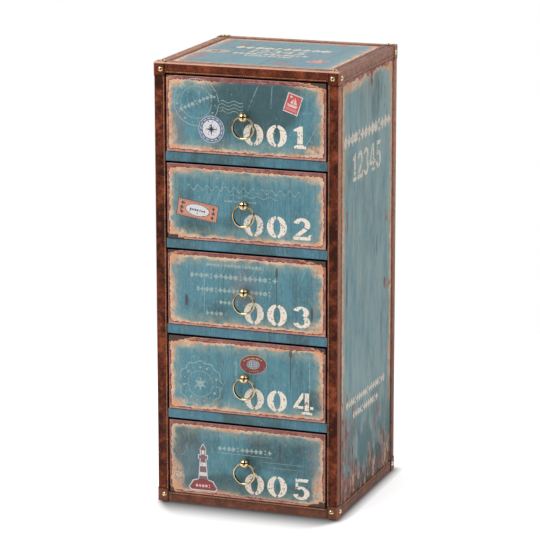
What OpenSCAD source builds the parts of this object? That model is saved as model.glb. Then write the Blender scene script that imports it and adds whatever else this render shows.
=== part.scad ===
// A five-drawer chest in the style of a steamer trunk: printed boards, leather
// edging with brass nails at the corners, and a brass ring pull on each drawer.
// The front looks along -Y, +Z is up, and the origin is on the floor under the
// middle of the whole box, ring pulls included.

/* [Cabinet] */
// Width over the leather edging
body_w = 340; // [280:1:440]
// Depth over the leather edging
body_d = 326; // [260:1:420]
// Height over the leather edging, without the floor glides
body_h = 797; // [640:1:960]
// Thickness of the two side boards
side_t = 19; // [16:0.5:22]
// Thickness of the top and bottom boards
cap_t = 17; // [15:0.5:22]
// Thickness of the shelves between the drawers
shelf_t = 17; // [12:0.5:20]
// Depth of the side grooves that hold the shelves
shelf_groove = 5; // [3:0.5:8]
// Rounding of the shelves' front edges
shelf_nose = 1; // [0.5:0.1:3]
// Thickness of the back board
back_t = 5; // [3:0.5:9]

/* [Dowels] */
// Diameter of the dowels between the side boards and the top and bottom
dowel_d = 8; // [6:0.5:10]
// Length of each dowel
dowel_l = 28; // [20:1:40]
// How far each dowel goes into the top or bottom board
dowel_cap = 10; // [8:0.5:12]
// Distance of the dowels from the front and back
dowel_inset = 60; // [40:1:90]

/* [Leather edging] */
// Width of each leg of the edging
edge_w = 20; // [16:0.5:23]
// Thickness of the leather
edge_t = 1.2; // [0.8:0.1:2]
// Rounding of the cabinet's outer edges
edge_round = 2; // [1.5:0.1:3]
// How far the edging folds into the drawer openings
fold_deep = 13; // [8:0.5:18]
// Width of a corner patch, along the width and depth
patch_w = 19; // [16:0.5:20]
// Height of a corner patch
patch_h = 24; // [20:0.5:30]
// Thickness of a corner patch
patch_t = 1; // [0.6:0.1:1.6]
// Rounding of a patch's free corners
patch_round = 6; // [3:0.5:8]

/* [Nails and glides] */
// Diameter of a nail's domed head
nail_head_d = 9; // [7:0.5:11]
// Height of the dome
nail_head_h = 2.4; // [1.5:0.1:3.5]
// Diameter of a nail's shank
nail_shank_d = 1.6; // [1.2:0.1:2.4]
// Length of a nail under its head
nail_l = 9; // [6:0.5:10]
// Distance of each nail from the cabinet's edges
nail_inset = 12; // [10:0.5:14]
// Diameter of a floor glide
glide_d = 15; // [10:0.5:16]
// Height of a floor glide
glide_h = 2; // [1.5:0.1:5]
// Distance of each glide from the cabinet's edges
glide_inset = 10.5; // [9:0.5:11]
// Diameter of a glide's pin
glide_pin_d = 2; // [1.5:0.1:3]
// Length of a glide's pin
glide_pin_l = 8; // [5:0.5:9]

/* [Drawers] */
// Thickness of a drawer front
front_t = 15; // [12:0.5:20]
// Rounding of a drawer front's edges
front_round = 1.2; // [0.5:0.1:3]
// How far the drawer fronts stand proud of the edging
front_proud = 1; // [0:0.1:3]
// Gap at each end of a drawer front
gap_side = 2.8; // [1:0.1:5]
// Gap above a drawer front
gap_top = 3; // [1:0.1:5]
// Gap below a drawer front
gap_bottom = 1.1; // [0.6:0.1:3]
// Thickness of a drawer's sides and back
box_t = 10; // [8:0.5:14]
// Height of a drawer's sides and back
box_h = 108; // [60:1:112]
// Setback of the box's sides from the ends of the front
box_setback = 0.5; // [0:0.1:3]
// Thickness of a drawer's bottom
bottom_t = 4; // [3:0.5:6]
// Depth of the grooves that hold the bottom
bottom_groove = 5; // [3:0.5:7]
// Height of the bottom above the box's lower edges
bottom_up = 8; // [5:0.5:14]
// Running gap between a box's lower edges and the shelf
slide_gap = 0.3; // [0.2:0.05:0.8]
// Gap between a closed drawer and the back board
stop_gap = 0.5; // [0.3:0.1:3]

/* [Ring pulls] */
// Height of the pulls above the middle of the drawer fronts
pull_up = 3; // [-20:0.5:25]
// Diameter of the flange against the drawer front
flange_d = 9.5; // [8:0.5:14]
// Thickness of the flange
flange_t = 1.5; // [0.8:0.1:2.5]
// Diameter of the neck behind the ball
neck_d = 7; // [6:0.2:9]
// Diameter of the ball that the ring hangs in
ball_d = 17.4; // [14:0.2:20]
// Distance of the ball's middle, and of the ring, from the drawer front
ball_out = 12; // [11.2:0.1:16]
// Diameter of the ring over its wire
ring_d = 42; // [34:0.2:56]
// Diameter of the ring's wire
wire_d = 4; // [2:0.1:4.6]
// Free play of the wire in the ball's cross hole, on the diameter
wire_play = 0.6; // [0.4:0.05:1]
// Diameter of the screw that holds the post
screw_d = 4; // [3:0.1:4.4]
// How far the screw goes into the post
screw_bite = 5.5; // [4:0.1:7]
// Diameter of the screw's head
screw_head_d = 8; // [6.5:0.5:10]
// Height of the screw's head
screw_head_h = 2.6; // [1.8:0.1:3.5]

/* [Hidden] */
$fn = 64;
drawer_count = 5;
// Radial clearance round dowels, nails and pins, and the spare depth of their holes
peg_fit = 0.05;
peg_spare = 0.5;
// Radial clearance of a screw in its drawer front and in its post
screw_hole_fit = 0.3;
screw_bore_fit = 0.05;
// Depth and width of a screw's driver slot
slot_deep = 1.2;
slot_w = 1.1;

// Radius of the ring to the middle of its wire
ring_r = (ring_d - wire_d) / 2;

pull_reach = front_proud + ball_out + ball_d / 2;
back_reach = patch_t + nail_head_h;
side_x = body_w / 2;
front_y = -(body_d + back_reach - pull_reach) / 2;
back_y = front_y + body_d;
base_z = glide_h + patch_t;
top_z = base_z + body_h;

// The boards fill the core, just inside the leather
core_low = [-side_x + edge_t, front_y + edge_t, base_z + edge_t];
core_high = [side_x - edge_t, back_y - edge_t, top_z - edge_t];
// Inner faces of the boards
inner_x = side_x - edge_t - side_t;
floor_z = base_z + edge_t + cap_t;
ceiling_z = top_z - edge_t - cap_t;
board_back_y = core_high.y - back_t;

bay_w = 2 * inner_x;
bay_h = (ceiling_z - floor_z - (drawer_count - 1) * shelf_t) / drawer_count;
front_w = bay_w - 2 * gap_side;
front_h = bay_h - gap_top - gap_bottom;
drawer_face_y = front_y - front_proud;
drawer_back_y = drawer_face_y + front_t;
box_w = front_w - 2 * box_setback;
box_end_y = board_back_y - stop_gap;

// Floor of a drawer's bay, counting the drawers from the top
function bay_z(n) = floor_z + (drawer_count - n) * (bay_h + shelf_t);
function box_z(n) = bay_z(n) + slide_gap;
function pull_z(n) = bay_z(n) + gap_bottom + front_h / 2 + pull_up;

DRAWER_PIECES = ["front", "left_side", "right_side", "back", "bottom",
                 "pull_post", "pull_ring", "pull_screw"];

TEAL = [0.30, 0.45, 0.48];
LEATHER = [0.30, 0.13, 0.07];
BRASS = [0.78, 0.66, 0.38];
BOARD = [0.72, 0.58, 0.42];
HARDBOARD = [0.42, 0.28, 0.17];
STEEL = [0.68, 0.68, 0.70];
BLACK_PLASTIC = [0.06, 0.06, 0.06];

// Shared shapes

// A box from its lowest corner to its highest
module block(low, high) {
    translate(low) cube(high - low);
}

module rounded_rect(size, r) {
    square([size.x - 2 * r, size.y], center = true);
    square([size.x, size.y - 2 * r], center = true);
    for (x = [-1, 1], y = [-1, 1])
        translate([x * (size.x / 2 - r), y * (size.y / 2 - r)]) circle(r);
}

// A centred block with all its edges rounded
module soft_block(size, r) {
    intersection() {
        linear_extrude(size.z, center = true) rounded_rect([size.x, size.y], r);
        rotate([90, 0, 0])
            linear_extrude(size.y, center = true) rounded_rect([size.x, size.z], r);
        rotate([90, 0, 90])
            linear_extrude(size.x, center = true) rounded_rect([size.y, size.z], r);
    }
}

// A cylinder that starts at a point and runs along a unit axis
module rod(start, axis, length, r) {
    turn = axis.x != 0 ? [0, 90 * axis.x, 0]
        : axis.y != 0 ? [-90 * axis.y, 0, 0]
        : [axis.z > 0 ? 0 : 180, 0, 0];
    translate(start) rotate(turn) cylinder(h = length, r = r);
}

// Places its child once for each corner of the cabinet
module at_corner(x, y, z) {
    translate([x * side_x, y < 0 ? front_y : back_y, z < 0 ? base_z : top_z])
        mirror([x < 0 ? 1 : 0, 0, 0])
            mirror([0, y < 0 ? 1 : 0, 0])
                mirror([0, 0, z < 0 ? 1 : 0])
                    children();
}

// Nails, glides and dowels, which the boards and the leather are drilled for

// Each nail's place on the outside of its patch, and the way its head faces
function corner_point(x, y, z, inset) =
    [x * (side_x - inset.x),
     y < 0 ? front_y + inset.y : back_y - inset.y,
     z < 0 ? base_z + inset.z : top_z - inset.z];
NAILS = concat(
    [for (x = [-1, 1], y = [-1, 1], z = [-1, 1])
        [corner_point(x, y, z, [-patch_t, nail_inset, nail_inset]), [x, 0, 0]]],
    [for (x = [-1, 1], y = [-1, 1], z = [-1, 1])
        [corner_point(x, y, z, [nail_inset, -patch_t, nail_inset]), [0, y, 0]]],
    [for (x = [-1, 1], y = [-1, 1])
        [corner_point(x, y, 1, [nail_inset, nail_inset, -patch_t]), [0, 0, 1]]]);
GLIDES = [for (x = [-1, 1], y = [-1, 1])
    corner_point(x, y, -1, [glide_inset, glide_inset, -patch_t])];
DOWELS = [for (x = [-1, 1], y = [front_y + dowel_inset, back_y - dowel_inset],
               z = [floor_z - dowel_cap, ceiling_z + dowel_cap - dowel_l])
    [x * (inner_x + side_t / 2), y, z]];

module nail_holes() {
    for (nail = NAILS)
        rod(nail[0], -nail[1], nail_l + peg_spare, nail_shank_d / 2 + peg_fit);
}

module glide_holes() {
    for (place = GLIDES)
        rod(place, [0, 0, 1], glide_pin_l + peg_spare, glide_pin_d / 2 + peg_fit);
}

module dowel_holes() {
    for (place = DOWELS)
        rod(place - [0, 0, peg_spare], [0, 0, 1], dowel_l + 2 * peg_spare,
            dowel_d / 2 + peg_fit);
}

// Carcass boards

module shelf_solid(k) {
    z = bay_z(k) - shelf_t;
    length = bay_w + 2 * shelf_groove;
    depth = board_back_y - core_low.y;
    translate([-length / 2, core_low.y, z])
        rotate([90, 0, 90])
            linear_extrude(length) {
                translate([shelf_nose, 0]) square([depth - shelf_nose, shelf_t]);
                translate([0, shelf_nose]) square([shelf_nose, shelf_t - 2 * shelf_nose]);
                for (up = [shelf_nose, shelf_t - shelf_nose])
                    translate([shelf_nose, up]) circle(shelf_nose);
            }
}

module shelf(k) {
    color(TEAL) shelf_solid(k);
}

// The square groove that a shelf's end sits in, over both side boards
module shelf_grooves() {
    for (k = [1 : drawer_count - 1])
        block([-inner_x - shelf_groove, core_low.y, bay_z(k) - shelf_t],
              [inner_x + shelf_groove, board_back_y, bay_z(k)]);
}

// Where the edging folds round the openings' edges, let into the boards
module side_folds() {
    for (x = [-1, 1])
        mirror([x < 0 ? 1 : 0, 0, 0])
            block([inner_x, core_low.y, floor_z],
                  [inner_x + edge_t, front_y + fold_deep, ceiling_z]);
}

module cap_folds() {
    block([-inner_x, core_low.y, ceiling_z],
          [inner_x, front_y + fold_deep, ceiling_z + edge_t]);
    block([-inner_x, core_low.y, floor_z - edge_t],
          [inner_x, front_y + fold_deep, floor_z]);
}

module side_board(x) {
    color(TEAL) difference() {
        mirror([x < 0 ? 1 : 0, 0, 0])
            block([inner_x, core_low.y, floor_z], [core_high.x, board_back_y, ceiling_z]);
        shelf_grooves();
        side_folds();
        dowel_holes();
    }
}

module cap_board(low_z, high_z) {
    color(TEAL) difference() {
        block([core_low.x, core_low.y, low_z], [core_high.x, board_back_y, high_z]);
        cap_folds();
        dowel_holes();
        nail_holes();
        glide_holes();
    }
}

module back_board() {
    color(TEAL) difference() {
        block([core_low.x, board_back_y, core_low.z], core_high);
        nail_holes();
    }
}

module carcass_dowels() {
    color(BOARD) for (place = DOWELS)
        rod(place, [0, 0, 1], dowel_l, dowel_d / 2);
}

// Leather edging

// The cabinet's outer form, with its edges rounded
module body_form() {
    translate([0, (front_y + back_y) / 2, base_z + body_h / 2])
        soft_block([body_w, body_d, body_h], edge_round);
}

// The part of the leather layer that lies between two corners
module leather(low, high) {
    intersection() {
        difference() {
            body_form();
            block(core_low, core_high);
        }
        block(low, high);
    }
}

module front_cap_edging(low_z, high_z) {
    color(LEATHER) difference() {
        union() {
            leather([-side_x, front_y, low_z], [side_x, front_y + edge_w, high_z]);
            intersection() {
                cap_folds();
                block([-side_x, front_y, low_z], [side_x, back_y, high_z]);
            }
        }
        nail_holes();
        glide_holes();
    }
}

module front_side_edging(x) {
    color(LEATHER) mirror([x < 0 ? 1 : 0, 0, 0]) difference() {
        union() {
            leather([inner_x, front_y, floor_z], [side_x, front_y + edge_w, ceiling_z]);
            intersection() {
                side_folds();
                block([0, front_y, floor_z], [side_x, back_y, ceiling_z]);
            }
        }
        for (k = [1 : drawer_count - 1])
            block([0, core_low.y, bay_z(k) - shelf_t], [inner_x + edge_t, back_y, bay_z(k)]);
    }
}

module back_edging() {
    color(LEATHER) difference() {
        union() {
            for (z = [[base_z, base_z + edge_w], [top_z - edge_w, top_z]])
                leather([-side_x, back_y - edge_w, z[0]], [side_x, back_y, z[1]]);
            for (x = [[-side_x, -side_x + edge_w], [side_x - edge_w, side_x]])
                leather([x[0], back_y - edge_w, base_z + edge_w],
                        [x[1], back_y, top_z - edge_w]);
        }
        nail_holes();
        glide_holes();
    }
}

module side_edging(low_z, high_z) {
    color(LEATHER)
        for (x = [[-side_x, -side_x + edge_w], [side_x - edge_w, side_x]])
            leather([x[0], front_y + edge_w, low_z], [x[1], back_y - edge_w, high_z]);
}

// One face of a patch, with its free corner rounded; the cabinet's corner is at
// the origin and the patch runs towards -X and -Y
module patch_outline(size) {
    translate([-size.x + patch_round, -size.y])
        square([size.x - patch_round + patch_t, size.y + patch_t]);
    translate([-size.x, -size.y + patch_round])
        square([size.x + patch_t, size.y - patch_round + patch_t]);
    translate([-size.x + patch_round, -size.y + patch_round]) circle(patch_round);
}

// A leather patch folded round a corner that points along +X, +Y and +Z
module corner_patch() {
    reach = 2 * patch_h;
    span = reach + patch_t;
    intersection() {
        difference() {
            translate((patch_t - span / 2) * [1, 1, 1])
                soft_block(span * [1, 1, 1], edge_round + patch_t);
            translate(-reach / 2 * [1, 1, 1]) soft_block(reach * [1, 1, 1], edge_round);
        }
        translate([0, 0, -patch_h])
            linear_extrude(patch_h + patch_t) patch_outline([patch_w, patch_w]);
        translate([0, patch_t, 0]) rotate([90, 0, 0])
            linear_extrude(patch_w + patch_t) patch_outline([patch_w, patch_h]);
        translate([-patch_w, 0, 0]) rotate([90, 0, 90])
            linear_extrude(patch_w + patch_t) patch_outline([patch_w, patch_h]);
    }
}

module corner_patches() {
    color(LEATHER) difference() {
        for (x = [-1, 1], y = [-1, 1], z = [-1, 1])
            at_corner(x, y, z) corner_patch();
        nail_holes();
        glide_holes();
    }
}

// A domed nail whose head faces +Z
module nail() {
    dome_sphere_r = (nail_head_d * nail_head_d / 4 + nail_head_h * nail_head_h)
        / (2 * nail_head_h);
    intersection() {
        translate([0, 0, nail_head_h - dome_sphere_r]) sphere(dome_sphere_r);
        cylinder(h = nail_head_h, d = nail_head_d);
    }
    translate([0, 0, -nail_l]) cylinder(h = nail_l, d = nail_shank_d);
}

module corner_nails() {
    color(BRASS) for (spot = NAILS) {
        axis = spot[1];
        turn = axis.x != 0 ? [0, 90 * axis.x, 0]
            : axis.y != 0 ? [-90 * axis.y, 0, 0]
            : [0, 0, 0];
        translate(spot[0]) rotate(turn) nail();
    }
}

module floor_glides() {
    color(BLACK_PLASTIC) for (place = GLIDES) {
        rod(place, [0, 0, -1], glide_h, glide_d / 2);
        rod(place, [0, 0, 1], glide_pin_l, glide_pin_d / 2);
    }
}

// Drawers

// The board of a drawer's bottom, which its grooves are cut from too
module bottom_solid(n) {
    half = box_w / 2 - box_t + bottom_groove;
    z = box_z(n) + bottom_up;
    block([-half, drawer_back_y - bottom_groove, z],
          [half, box_end_y - box_t + bottom_groove, z + bottom_t]);
}

module drawer_front(n) {
    color(TEAL) difference() {
        translate([0, drawer_face_y + front_t / 2, bay_z(n) + gap_bottom + front_h / 2])
            soft_block([front_w, front_t, front_h], front_round);
        bottom_solid(n);
        rod([0, drawer_back_y, pull_z(n)], [0, -1, 0], front_t,
            screw_d / 2 + screw_hole_fit);
    }
}

module drawer_side(n, x) {
    color(BOARD) difference() {
        mirror([x < 0 ? 1 : 0, 0, 0])
            block([box_w / 2 - box_t, drawer_back_y, box_z(n)],
                  [box_w / 2, box_end_y, box_z(n) + box_h]);
        bottom_solid(n);
    }
}

module drawer_back(n) {
    half = box_w / 2 - box_t;
    color(BOARD) difference() {
        block([-half, box_end_y - box_t, box_z(n)], [half, box_end_y, box_z(n) + box_h]);
        bottom_solid(n);
    }
}

module drawer_bottom(n) {
    color(HARDBOARD) bottom_solid(n);
}

// The hole across a pull's ball, along X. It widens outwards with the ring's own curve,
// so that the ring keeps the same play all through it as it swings
module cross_hole() {
    rotate([0, 90, 0]) rotate_extrude()
        difference() {
            translate([0, -ball_d / 2]) square([ball_d / 2, ball_d]);
            translate([ring_r, 0]) circle(ring_r - (wire_d + wire_play) / 2);
        }
}

// The post stands out of the drawer front along -Y, and the ring hangs in its ball
module pull_post(n) {
    color(BRASS) translate([0, drawer_face_y, pull_z(n)]) rotate([90, 0, 0])
        difference() {
            union() {
                cylinder(h = flange_t, d = flange_d);
                cylinder(h = ball_out, d = neck_d);
                translate([0, 0, ball_out]) sphere(d = ball_d);
            }
            translate([0, 0, ball_out]) cross_hole();
            cylinder(h = screw_bite + peg_spare, r = screw_d / 2 + screw_bore_fit);
        }
}

module pull_ring(n) {
    color(BRASS) translate([0, drawer_face_y - ball_out, pull_z(n) - ring_r])
        rotate([90, 0, 0]) rotate_extrude()
            translate([ring_r, 0]) circle(wire_d / 2);
}

module pull_screw(n) {
    color(STEEL) translate([0, drawer_back_y, pull_z(n)]) rotate([90, 0, 0])
        difference() {
            union() {
                cylinder(h = front_t + screw_bite, d = screw_d);
                translate([0, 0, -screw_head_h])
                    cylinder(h = screw_head_h, d = screw_head_d);
            }
            translate([-screw_head_d / 2, -slot_w / 2, -screw_head_h])
                cube([screw_head_d, slot_w, slot_deep]);
        }
}

side_board(-1);  // left_side_board
side_board(1);  // right_side_board
cap_board(ceiling_z, core_high.z);  // top_board
cap_board(core_low.z, floor_z);  // bottom_board
back_board();
for (k = [1 : drawer_count - 1])
    shelf(k);
carcass_dowels();
front_cap_edging(ceiling_z, top_z);  // front_top_edging
front_cap_edging(base_z, floor_z);  // front_bottom_edging
front_side_edging(-1);  // front_left_edging
front_side_edging(1);  // front_right_edging
back_edging();
side_edging(top_z - edge_w, top_z);  // top_side_edging
side_edging(base_z, base_z + edge_w);  // bottom_side_edging
corner_patches();
corner_nails();
floor_glides();
for (n = [1 : drawer_count]) {
    drawer_front(n);
    drawer_side(n, -1);
    drawer_side(n, 1);
    drawer_back(n);
    drawer_bottom(n);
    pull_post(n);
    pull_ring(n);
    pull_screw(n);
}
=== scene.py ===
"""Finish for a trunk-style drawer cabinet: worn print on its boards, stencilled marks and
stickers, stitched leather edging, brass pulls and nails, plain wooden drawer boxes, and the
pale studio that it stands in. Lengths here are millimetres, apart from those that Blender keeps
in metres: properties, vertices and what stands in the studio."""
import math
from typing import NamedTuple
import bmesh
import bpy
from bpy.props import FloatProperty, FloatVectorProperty, IntProperty, PointerProperty
from bpy.types import Operator, Panel, PropertyGroup
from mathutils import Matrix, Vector


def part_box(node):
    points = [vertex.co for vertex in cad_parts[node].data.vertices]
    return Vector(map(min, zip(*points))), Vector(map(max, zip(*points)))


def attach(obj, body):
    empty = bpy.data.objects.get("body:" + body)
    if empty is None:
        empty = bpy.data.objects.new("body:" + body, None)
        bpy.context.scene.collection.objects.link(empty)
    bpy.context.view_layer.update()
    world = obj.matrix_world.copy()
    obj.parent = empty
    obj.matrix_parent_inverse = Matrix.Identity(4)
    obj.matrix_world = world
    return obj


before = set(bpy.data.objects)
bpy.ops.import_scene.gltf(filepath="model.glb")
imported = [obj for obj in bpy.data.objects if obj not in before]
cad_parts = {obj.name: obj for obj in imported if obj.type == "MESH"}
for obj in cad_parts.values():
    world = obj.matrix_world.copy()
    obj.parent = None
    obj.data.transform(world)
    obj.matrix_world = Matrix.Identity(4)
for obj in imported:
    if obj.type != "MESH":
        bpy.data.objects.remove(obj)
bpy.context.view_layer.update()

bl_info = {
    "name": "Trunk Cabinet Finish",
    "version": (1, 0, 0),
    "blender": (4, 5, 0),
    "location": "3D View > Sidebar > Trunk Cabinet",
    "description": "Dresses a drawer cabinet in worn print, stitched leather and brass",
    "category": "Object",
}

MM = 0.001
CARCASS = "carcass"
DRAWERS = range(1, 6)


def span(*nodes):
    """Lowest and highest corners of some frame nodes together, in millimetres"""
    boxes = [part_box(node) for node in nodes]
    low = [min(box[0][axis] for box in boxes) / MM for axis in range(3)]
    high = [max(box[1][axis] for box in boxes) / MM for axis in range(3)]
    return Vector(low), Vector(high)


BODY_LOW, BODY_HIGH = span("front_top_edging", "front_bottom_edging", "back_edging")
BODY_MIDDLE = (BODY_LOW + BODY_HIGH) / 2
BODY_HALF = (BODY_HIGH - BODY_LOW) / 2
BOARD_LOW, BOARD_HIGH = span("top_board", "bottom_board", "back_board")
STRIP_WIDTH = BODY_HIGH.z - span("top_side_edging")[0].z
OPENING_TOP = span("front_left_edging")[1].z
PATCH_WIDTH = 19
PATCH_HEIGHT = 24


def tone(red, green, blue):
    """A colour for a property, from its everyday 0 to 255 numbers"""
    return (red / 255, green / 255, blue / 255)


def linear(colour):
    """A property's colour as the shader nodes take it"""
    return (*[c / 12.92 if c <= 0.04045 else ((c + 0.055) / 1.055) ** 2.4 for c in colour], 1.0)


def colour_property(name, description, default):
    return FloatVectorProperty(name=name, description=description, default=default,
                               subtype="COLOR_GAMMA", size=3, min=0, max=1)


def length_property(name, description, default, low=0.0):
    return FloatProperty(name=name, description=description, default=default * MM, min=low * MM,
                         subtype="DISTANCE", unit="LENGTH", precision=5)


def factor_property(name, description, default):
    return FloatProperty(name=name, description=description, default=default, min=0, max=1,
                         subtype="FACTOR")


def angle_property(name, description, degrees):
    return FloatProperty(name=name, description=description, default=math.radians(degrees),
                         subtype="ANGLE", unit="ROTATION")


def place_property(name, description, default):
    return FloatVectorProperty(name=name, description=description, default=default,
                               subtype="XYZ", unit="LENGTH")


def strength_property(name, description, default):
    return FloatProperty(name=name, description=description, default=default, min=0)


class PrintLook(PropertyGroup):
    teal: colour_property("Teal", "Main colour of the print", tone(80, 134, 148))
    deep_teal: colour_property("Deep teal", "Shaded parts of the print", tone(51, 82, 86))
    low_teal: colour_property("Low teal", "Print low on the sides", tone(46, 96, 104))
    blue_teal: colour_property("Blue teal", "Print on the shelf fronts", tone(72, 124, 144))
    pale_teal: colour_property("Pale teal", "Rubbed streaks in the print", tone(134, 164, 168))
    haze: colour_property("Haze", "Sun-bleached ground near the edges", tone(170, 172, 150))
    cream: colour_property("Cream", "Bleached band inside the torn border", tone(224, 188, 156))
    orange: colour_property("Orange", "Scorched parts of the bleached band", tone(220, 156, 112))
    mauve: colour_property("Mauve", "Bare ground outside the torn border", tone(150, 88, 84))
    blush: colour_property("Blush", "Rubbed pale parts of the bare ground", tone(214, 160, 142))
    maroon: colour_property("Maroon", "Shadow along the torn border", tone(100, 42, 46))
    chip: colour_property("Chip", "Board that shows where corners are knocked", tone(76, 54, 50))
    flake: colour_property("Flake", "Rusty patches where the print has flaked", tone(158, 98, 82))
    # Dark lining inside the carcass and on the drawer fronts' edges, which also paints the shade in
    # the gaps; the foot's soot flecks share it
    lining_and_shade: colour_property("Lining", "Dark paper inside the carcass", tone(20, 15, 14))
    grain_width: length_property("Grain width", "Width of the boards seen in the print", 5)
    cloud_size: length_property("Cloud size", "Size of the print's light and dark clouds", 70)
    torn_width: length_property("Torn width", "Width of the bare border where it is narrowest", 2.4)
    gloss: factor_property("Roughness", "Roughness of the print's coat", 0.42)


class LeatherLook(PropertyGroup):
    brown: colour_property("Brown", "Main colour of the leather", tone(95, 44, 27))
    dark: colour_property("Dark", "Dark mottling in the leather", tone(52, 22, 14))
    worn: colour_property("Worn", "Rubbed edges and light mottling", tone(152, 76, 46))
    # Painted sheen: paler leather on the top and upper sides, also laid faintly along the foot of
    # the front and back
    fade_and_sheen: colour_property("Bloom", "Faded leather on the top and upper sides", tone(206, 150, 126))
    # A painted highlight on the rounded top front edge, over rubbed wear
    edge: colour_property("Edge", "Polished leather along the top front edge", tone(222, 172, 150))
    # Painted shade: near-black leather where the strips fold into the drawer openings
    gap: colour_property("Gap", "Leather folded into the drawer openings", tone(20, 11, 8))
    thread: colour_property("Thread", "Colour of the sewing thread", tone(208, 162, 116))
    grain_size: length_property("Grain size", "Size of the leather's pebbles", 1.1)
    seam_inset: length_property("Seam inset", "Distance of the seam from a strip's inner edge", 2.1)
    bead_inset: length_property("Bead inset", "Distance of the bead from a strip's inner edge", 4.6)
    bead_width: length_property("Bead width", "Width of the raised bead", 1.8)
    bead_height: length_property("Bead height", "Height of the raised bead", 0.4)
    stitch_pitch: length_property("Stitch pitch", "Distance from one stitch to the next", 3.6)
    stitch_length: length_property("Stitch length", "Length of the thread seen in a stitch", 3.2)
    thread_width: length_property("Thread width", "Thickness of the thread", 1.3)


class MetalLook(PropertyGroup):
    brass: colour_property("Brass", "Colour of the polished brass", tone(220, 196, 150))
    tarnish: colour_property("Tarnish", "Colour of dulled brass", tone(138, 108, 68))
    # Painted reflection and shade: dark brass inside the rings and on the back of the pull balls
    grime_and_shade: colour_property("Grime", "Darkened brass inside the rings", tone(62, 44, 28))
    steel: colour_property("Steel", "Colour of the zinc-plated screws", tone(176, 178, 182))
    dull_steel: colour_property("Dull steel", "Dull patches in the plating", tone(120, 118, 116))
    roughness: factor_property("Roughness", "Roughness of the polished brass", 0.06)


class WoodLook(PropertyGroup):
    pine: colour_property("Pine", "Drawer sides and backs", tone(204, 172, 128))
    pine_grain: colour_property("Pine grain", "Darker rings in the drawer wood", tone(168, 128, 84))
    hardboard: colour_property("Hardboard", "Drawer bottoms", tone(128, 92, 62))
    board: colour_property("Board", "Raw fibreboard inside the carcass", tone(150, 120, 88))
    plastic: colour_property("Plastic", "Floor glides", tone(24, 24, 25))
    scuff: colour_property("Scuff", "Rubbed spots on the floor glides", tone(52, 52, 54))


class MarkLook(PropertyGroup):
    paint: colour_property("Stencil paint", "Numerals and crate marks", tone(236, 224, 208))
    ghost: colour_property("Ghost mark", "Faint line marks in the print", tone(180, 202, 200))
    paper: colour_property("Paper", "Pale ground of the stickers", tone(214, 212, 214))
    red: colour_property("Red", "Stamps", tone(198, 82, 78))
    plum: colour_property("Plum", "Oval label and sticker bands", tone(124, 58, 66))
    sky: colour_property("Sky", "Ring of the round badge", tone(88, 122, 154))
    pale_sky: colour_property("Pale sky", "Dashes round the badge", tone(158, 188, 208))
    salmon: colour_property("Salmon", "Ticket", tone(206, 138, 112))
    ink: colour_property("Ink", "Dark printing on the stickers", tone(66, 62, 72))
    gold: colour_property("Gold", "Rim of the oval label", tone(196, 170, 112))
    blush: colour_property("Blush", "Pale printing on red", tone(226, 190, 186))
    steel_blue: colour_property("Steel blue", "Globe of the oval label", tone(118, 122, 138))
    haze: colour_property("Haze", "Faded ground of the top's label", tone(186, 172, 164))
    stone: colour_property("Stone", "Tower of the lighthouse", tone(126, 96, 96))
    maroon: colour_property("Maroon", "Mound under the lighthouse", tone(140, 60, 62))
    numeral_height: length_property("Numeral height", "Height of the drawer numbers", 39)
    film: length_property("Film", "Thickness of a mark above the board", 0.12)
    layer: length_property("Layer", "Rise of each printed layer on a sticker", 0.04)


class StudioLook(PropertyGroup):
    azimuth: angle_property("Azimuth", "Camera's turn from the cabinet's front", 20.07)
    elevation: angle_property("Elevation", "Camera's height above level", 13.31)
    roll: angle_property("Roll", "Camera's tilt about its line of sight", -0.098)
    distance: length_property("Distance", "Camera's distance from its aim", 5261)
    aim: place_property("Aim", "Point in the middle of the picture", (-0.0418, 0.0819, 0.3859))
    lens: FloatProperty(name="Lens", description="Focal length on a 36 mm sensor", default=191.64,
                        subtype="DISTANCE_CAMERA", unit="CAMERA")
    sky: strength_property("Sky", "Strength of the even light from all round", 0.72)
    lamp: strength_property("Lamp", "Power of the large soft lamp, in watts", 62)
    lamp_size: length_property("Lamp size", "Width of the large soft lamp", 2400)
    lamp_place: place_property("Lamp place", "Where the large soft lamp hangs", (-1.3, -2.2, 3.0))
    lift: strength_property("Floor lift", "Glow that the camera sees on the floor", 0.5)
    glow: strength_property("Glow", "Strength of the glow that only mirrors see", 2.2)
    seed: IntProperty(name="Seed", description="Fixes everything random on the cabinet", default=7)


class Term:
    """A socket that takes part in plain sums, each of which adds a Math node"""

    def __init__(self, owner, socket):
        self.owner = owner
        self.socket = socket

    def sum(self, operation, *values):
        sockets = dict(enumerate(values))
        return self.owner.node("ShaderNodeMath", {"operation": operation}, sockets)[0]

    def __add__(self, other):
        return self.sum("ADD", self, other)

    def __sub__(self, other):
        return self.sum("SUBTRACT", self, other)

    def __rsub__(self, other):
        return self.sum("SUBTRACT", other, self)

    def __mul__(self, other):
        return self.sum("MULTIPLY", self, other)

    def __truediv__(self, other):
        return self.sum("DIVIDE", self, other)

    def __pow__(self, other):
        return self.sum("POWER", self, other)

    def __abs__(self):
        return self.sum("ABSOLUTE", self)

    __radd__ = __add__
    __rmul__ = __mul__

    def least(self, other):
        return self.sum("MINIMUM", self, other)

    def most(self, other):
        return self.sum("MAXIMUM", self, other)

    def step(self, low, high):
        """Eases from 0 at low to 1 at high, or falls where low is the larger"""
        return self.owner.node("ShaderNodeMapRange", {"interpolation_type": "SMOOTHSTEP"},
                               {"Value": self, "From Min": low, "From Max": high})[0]


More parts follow.
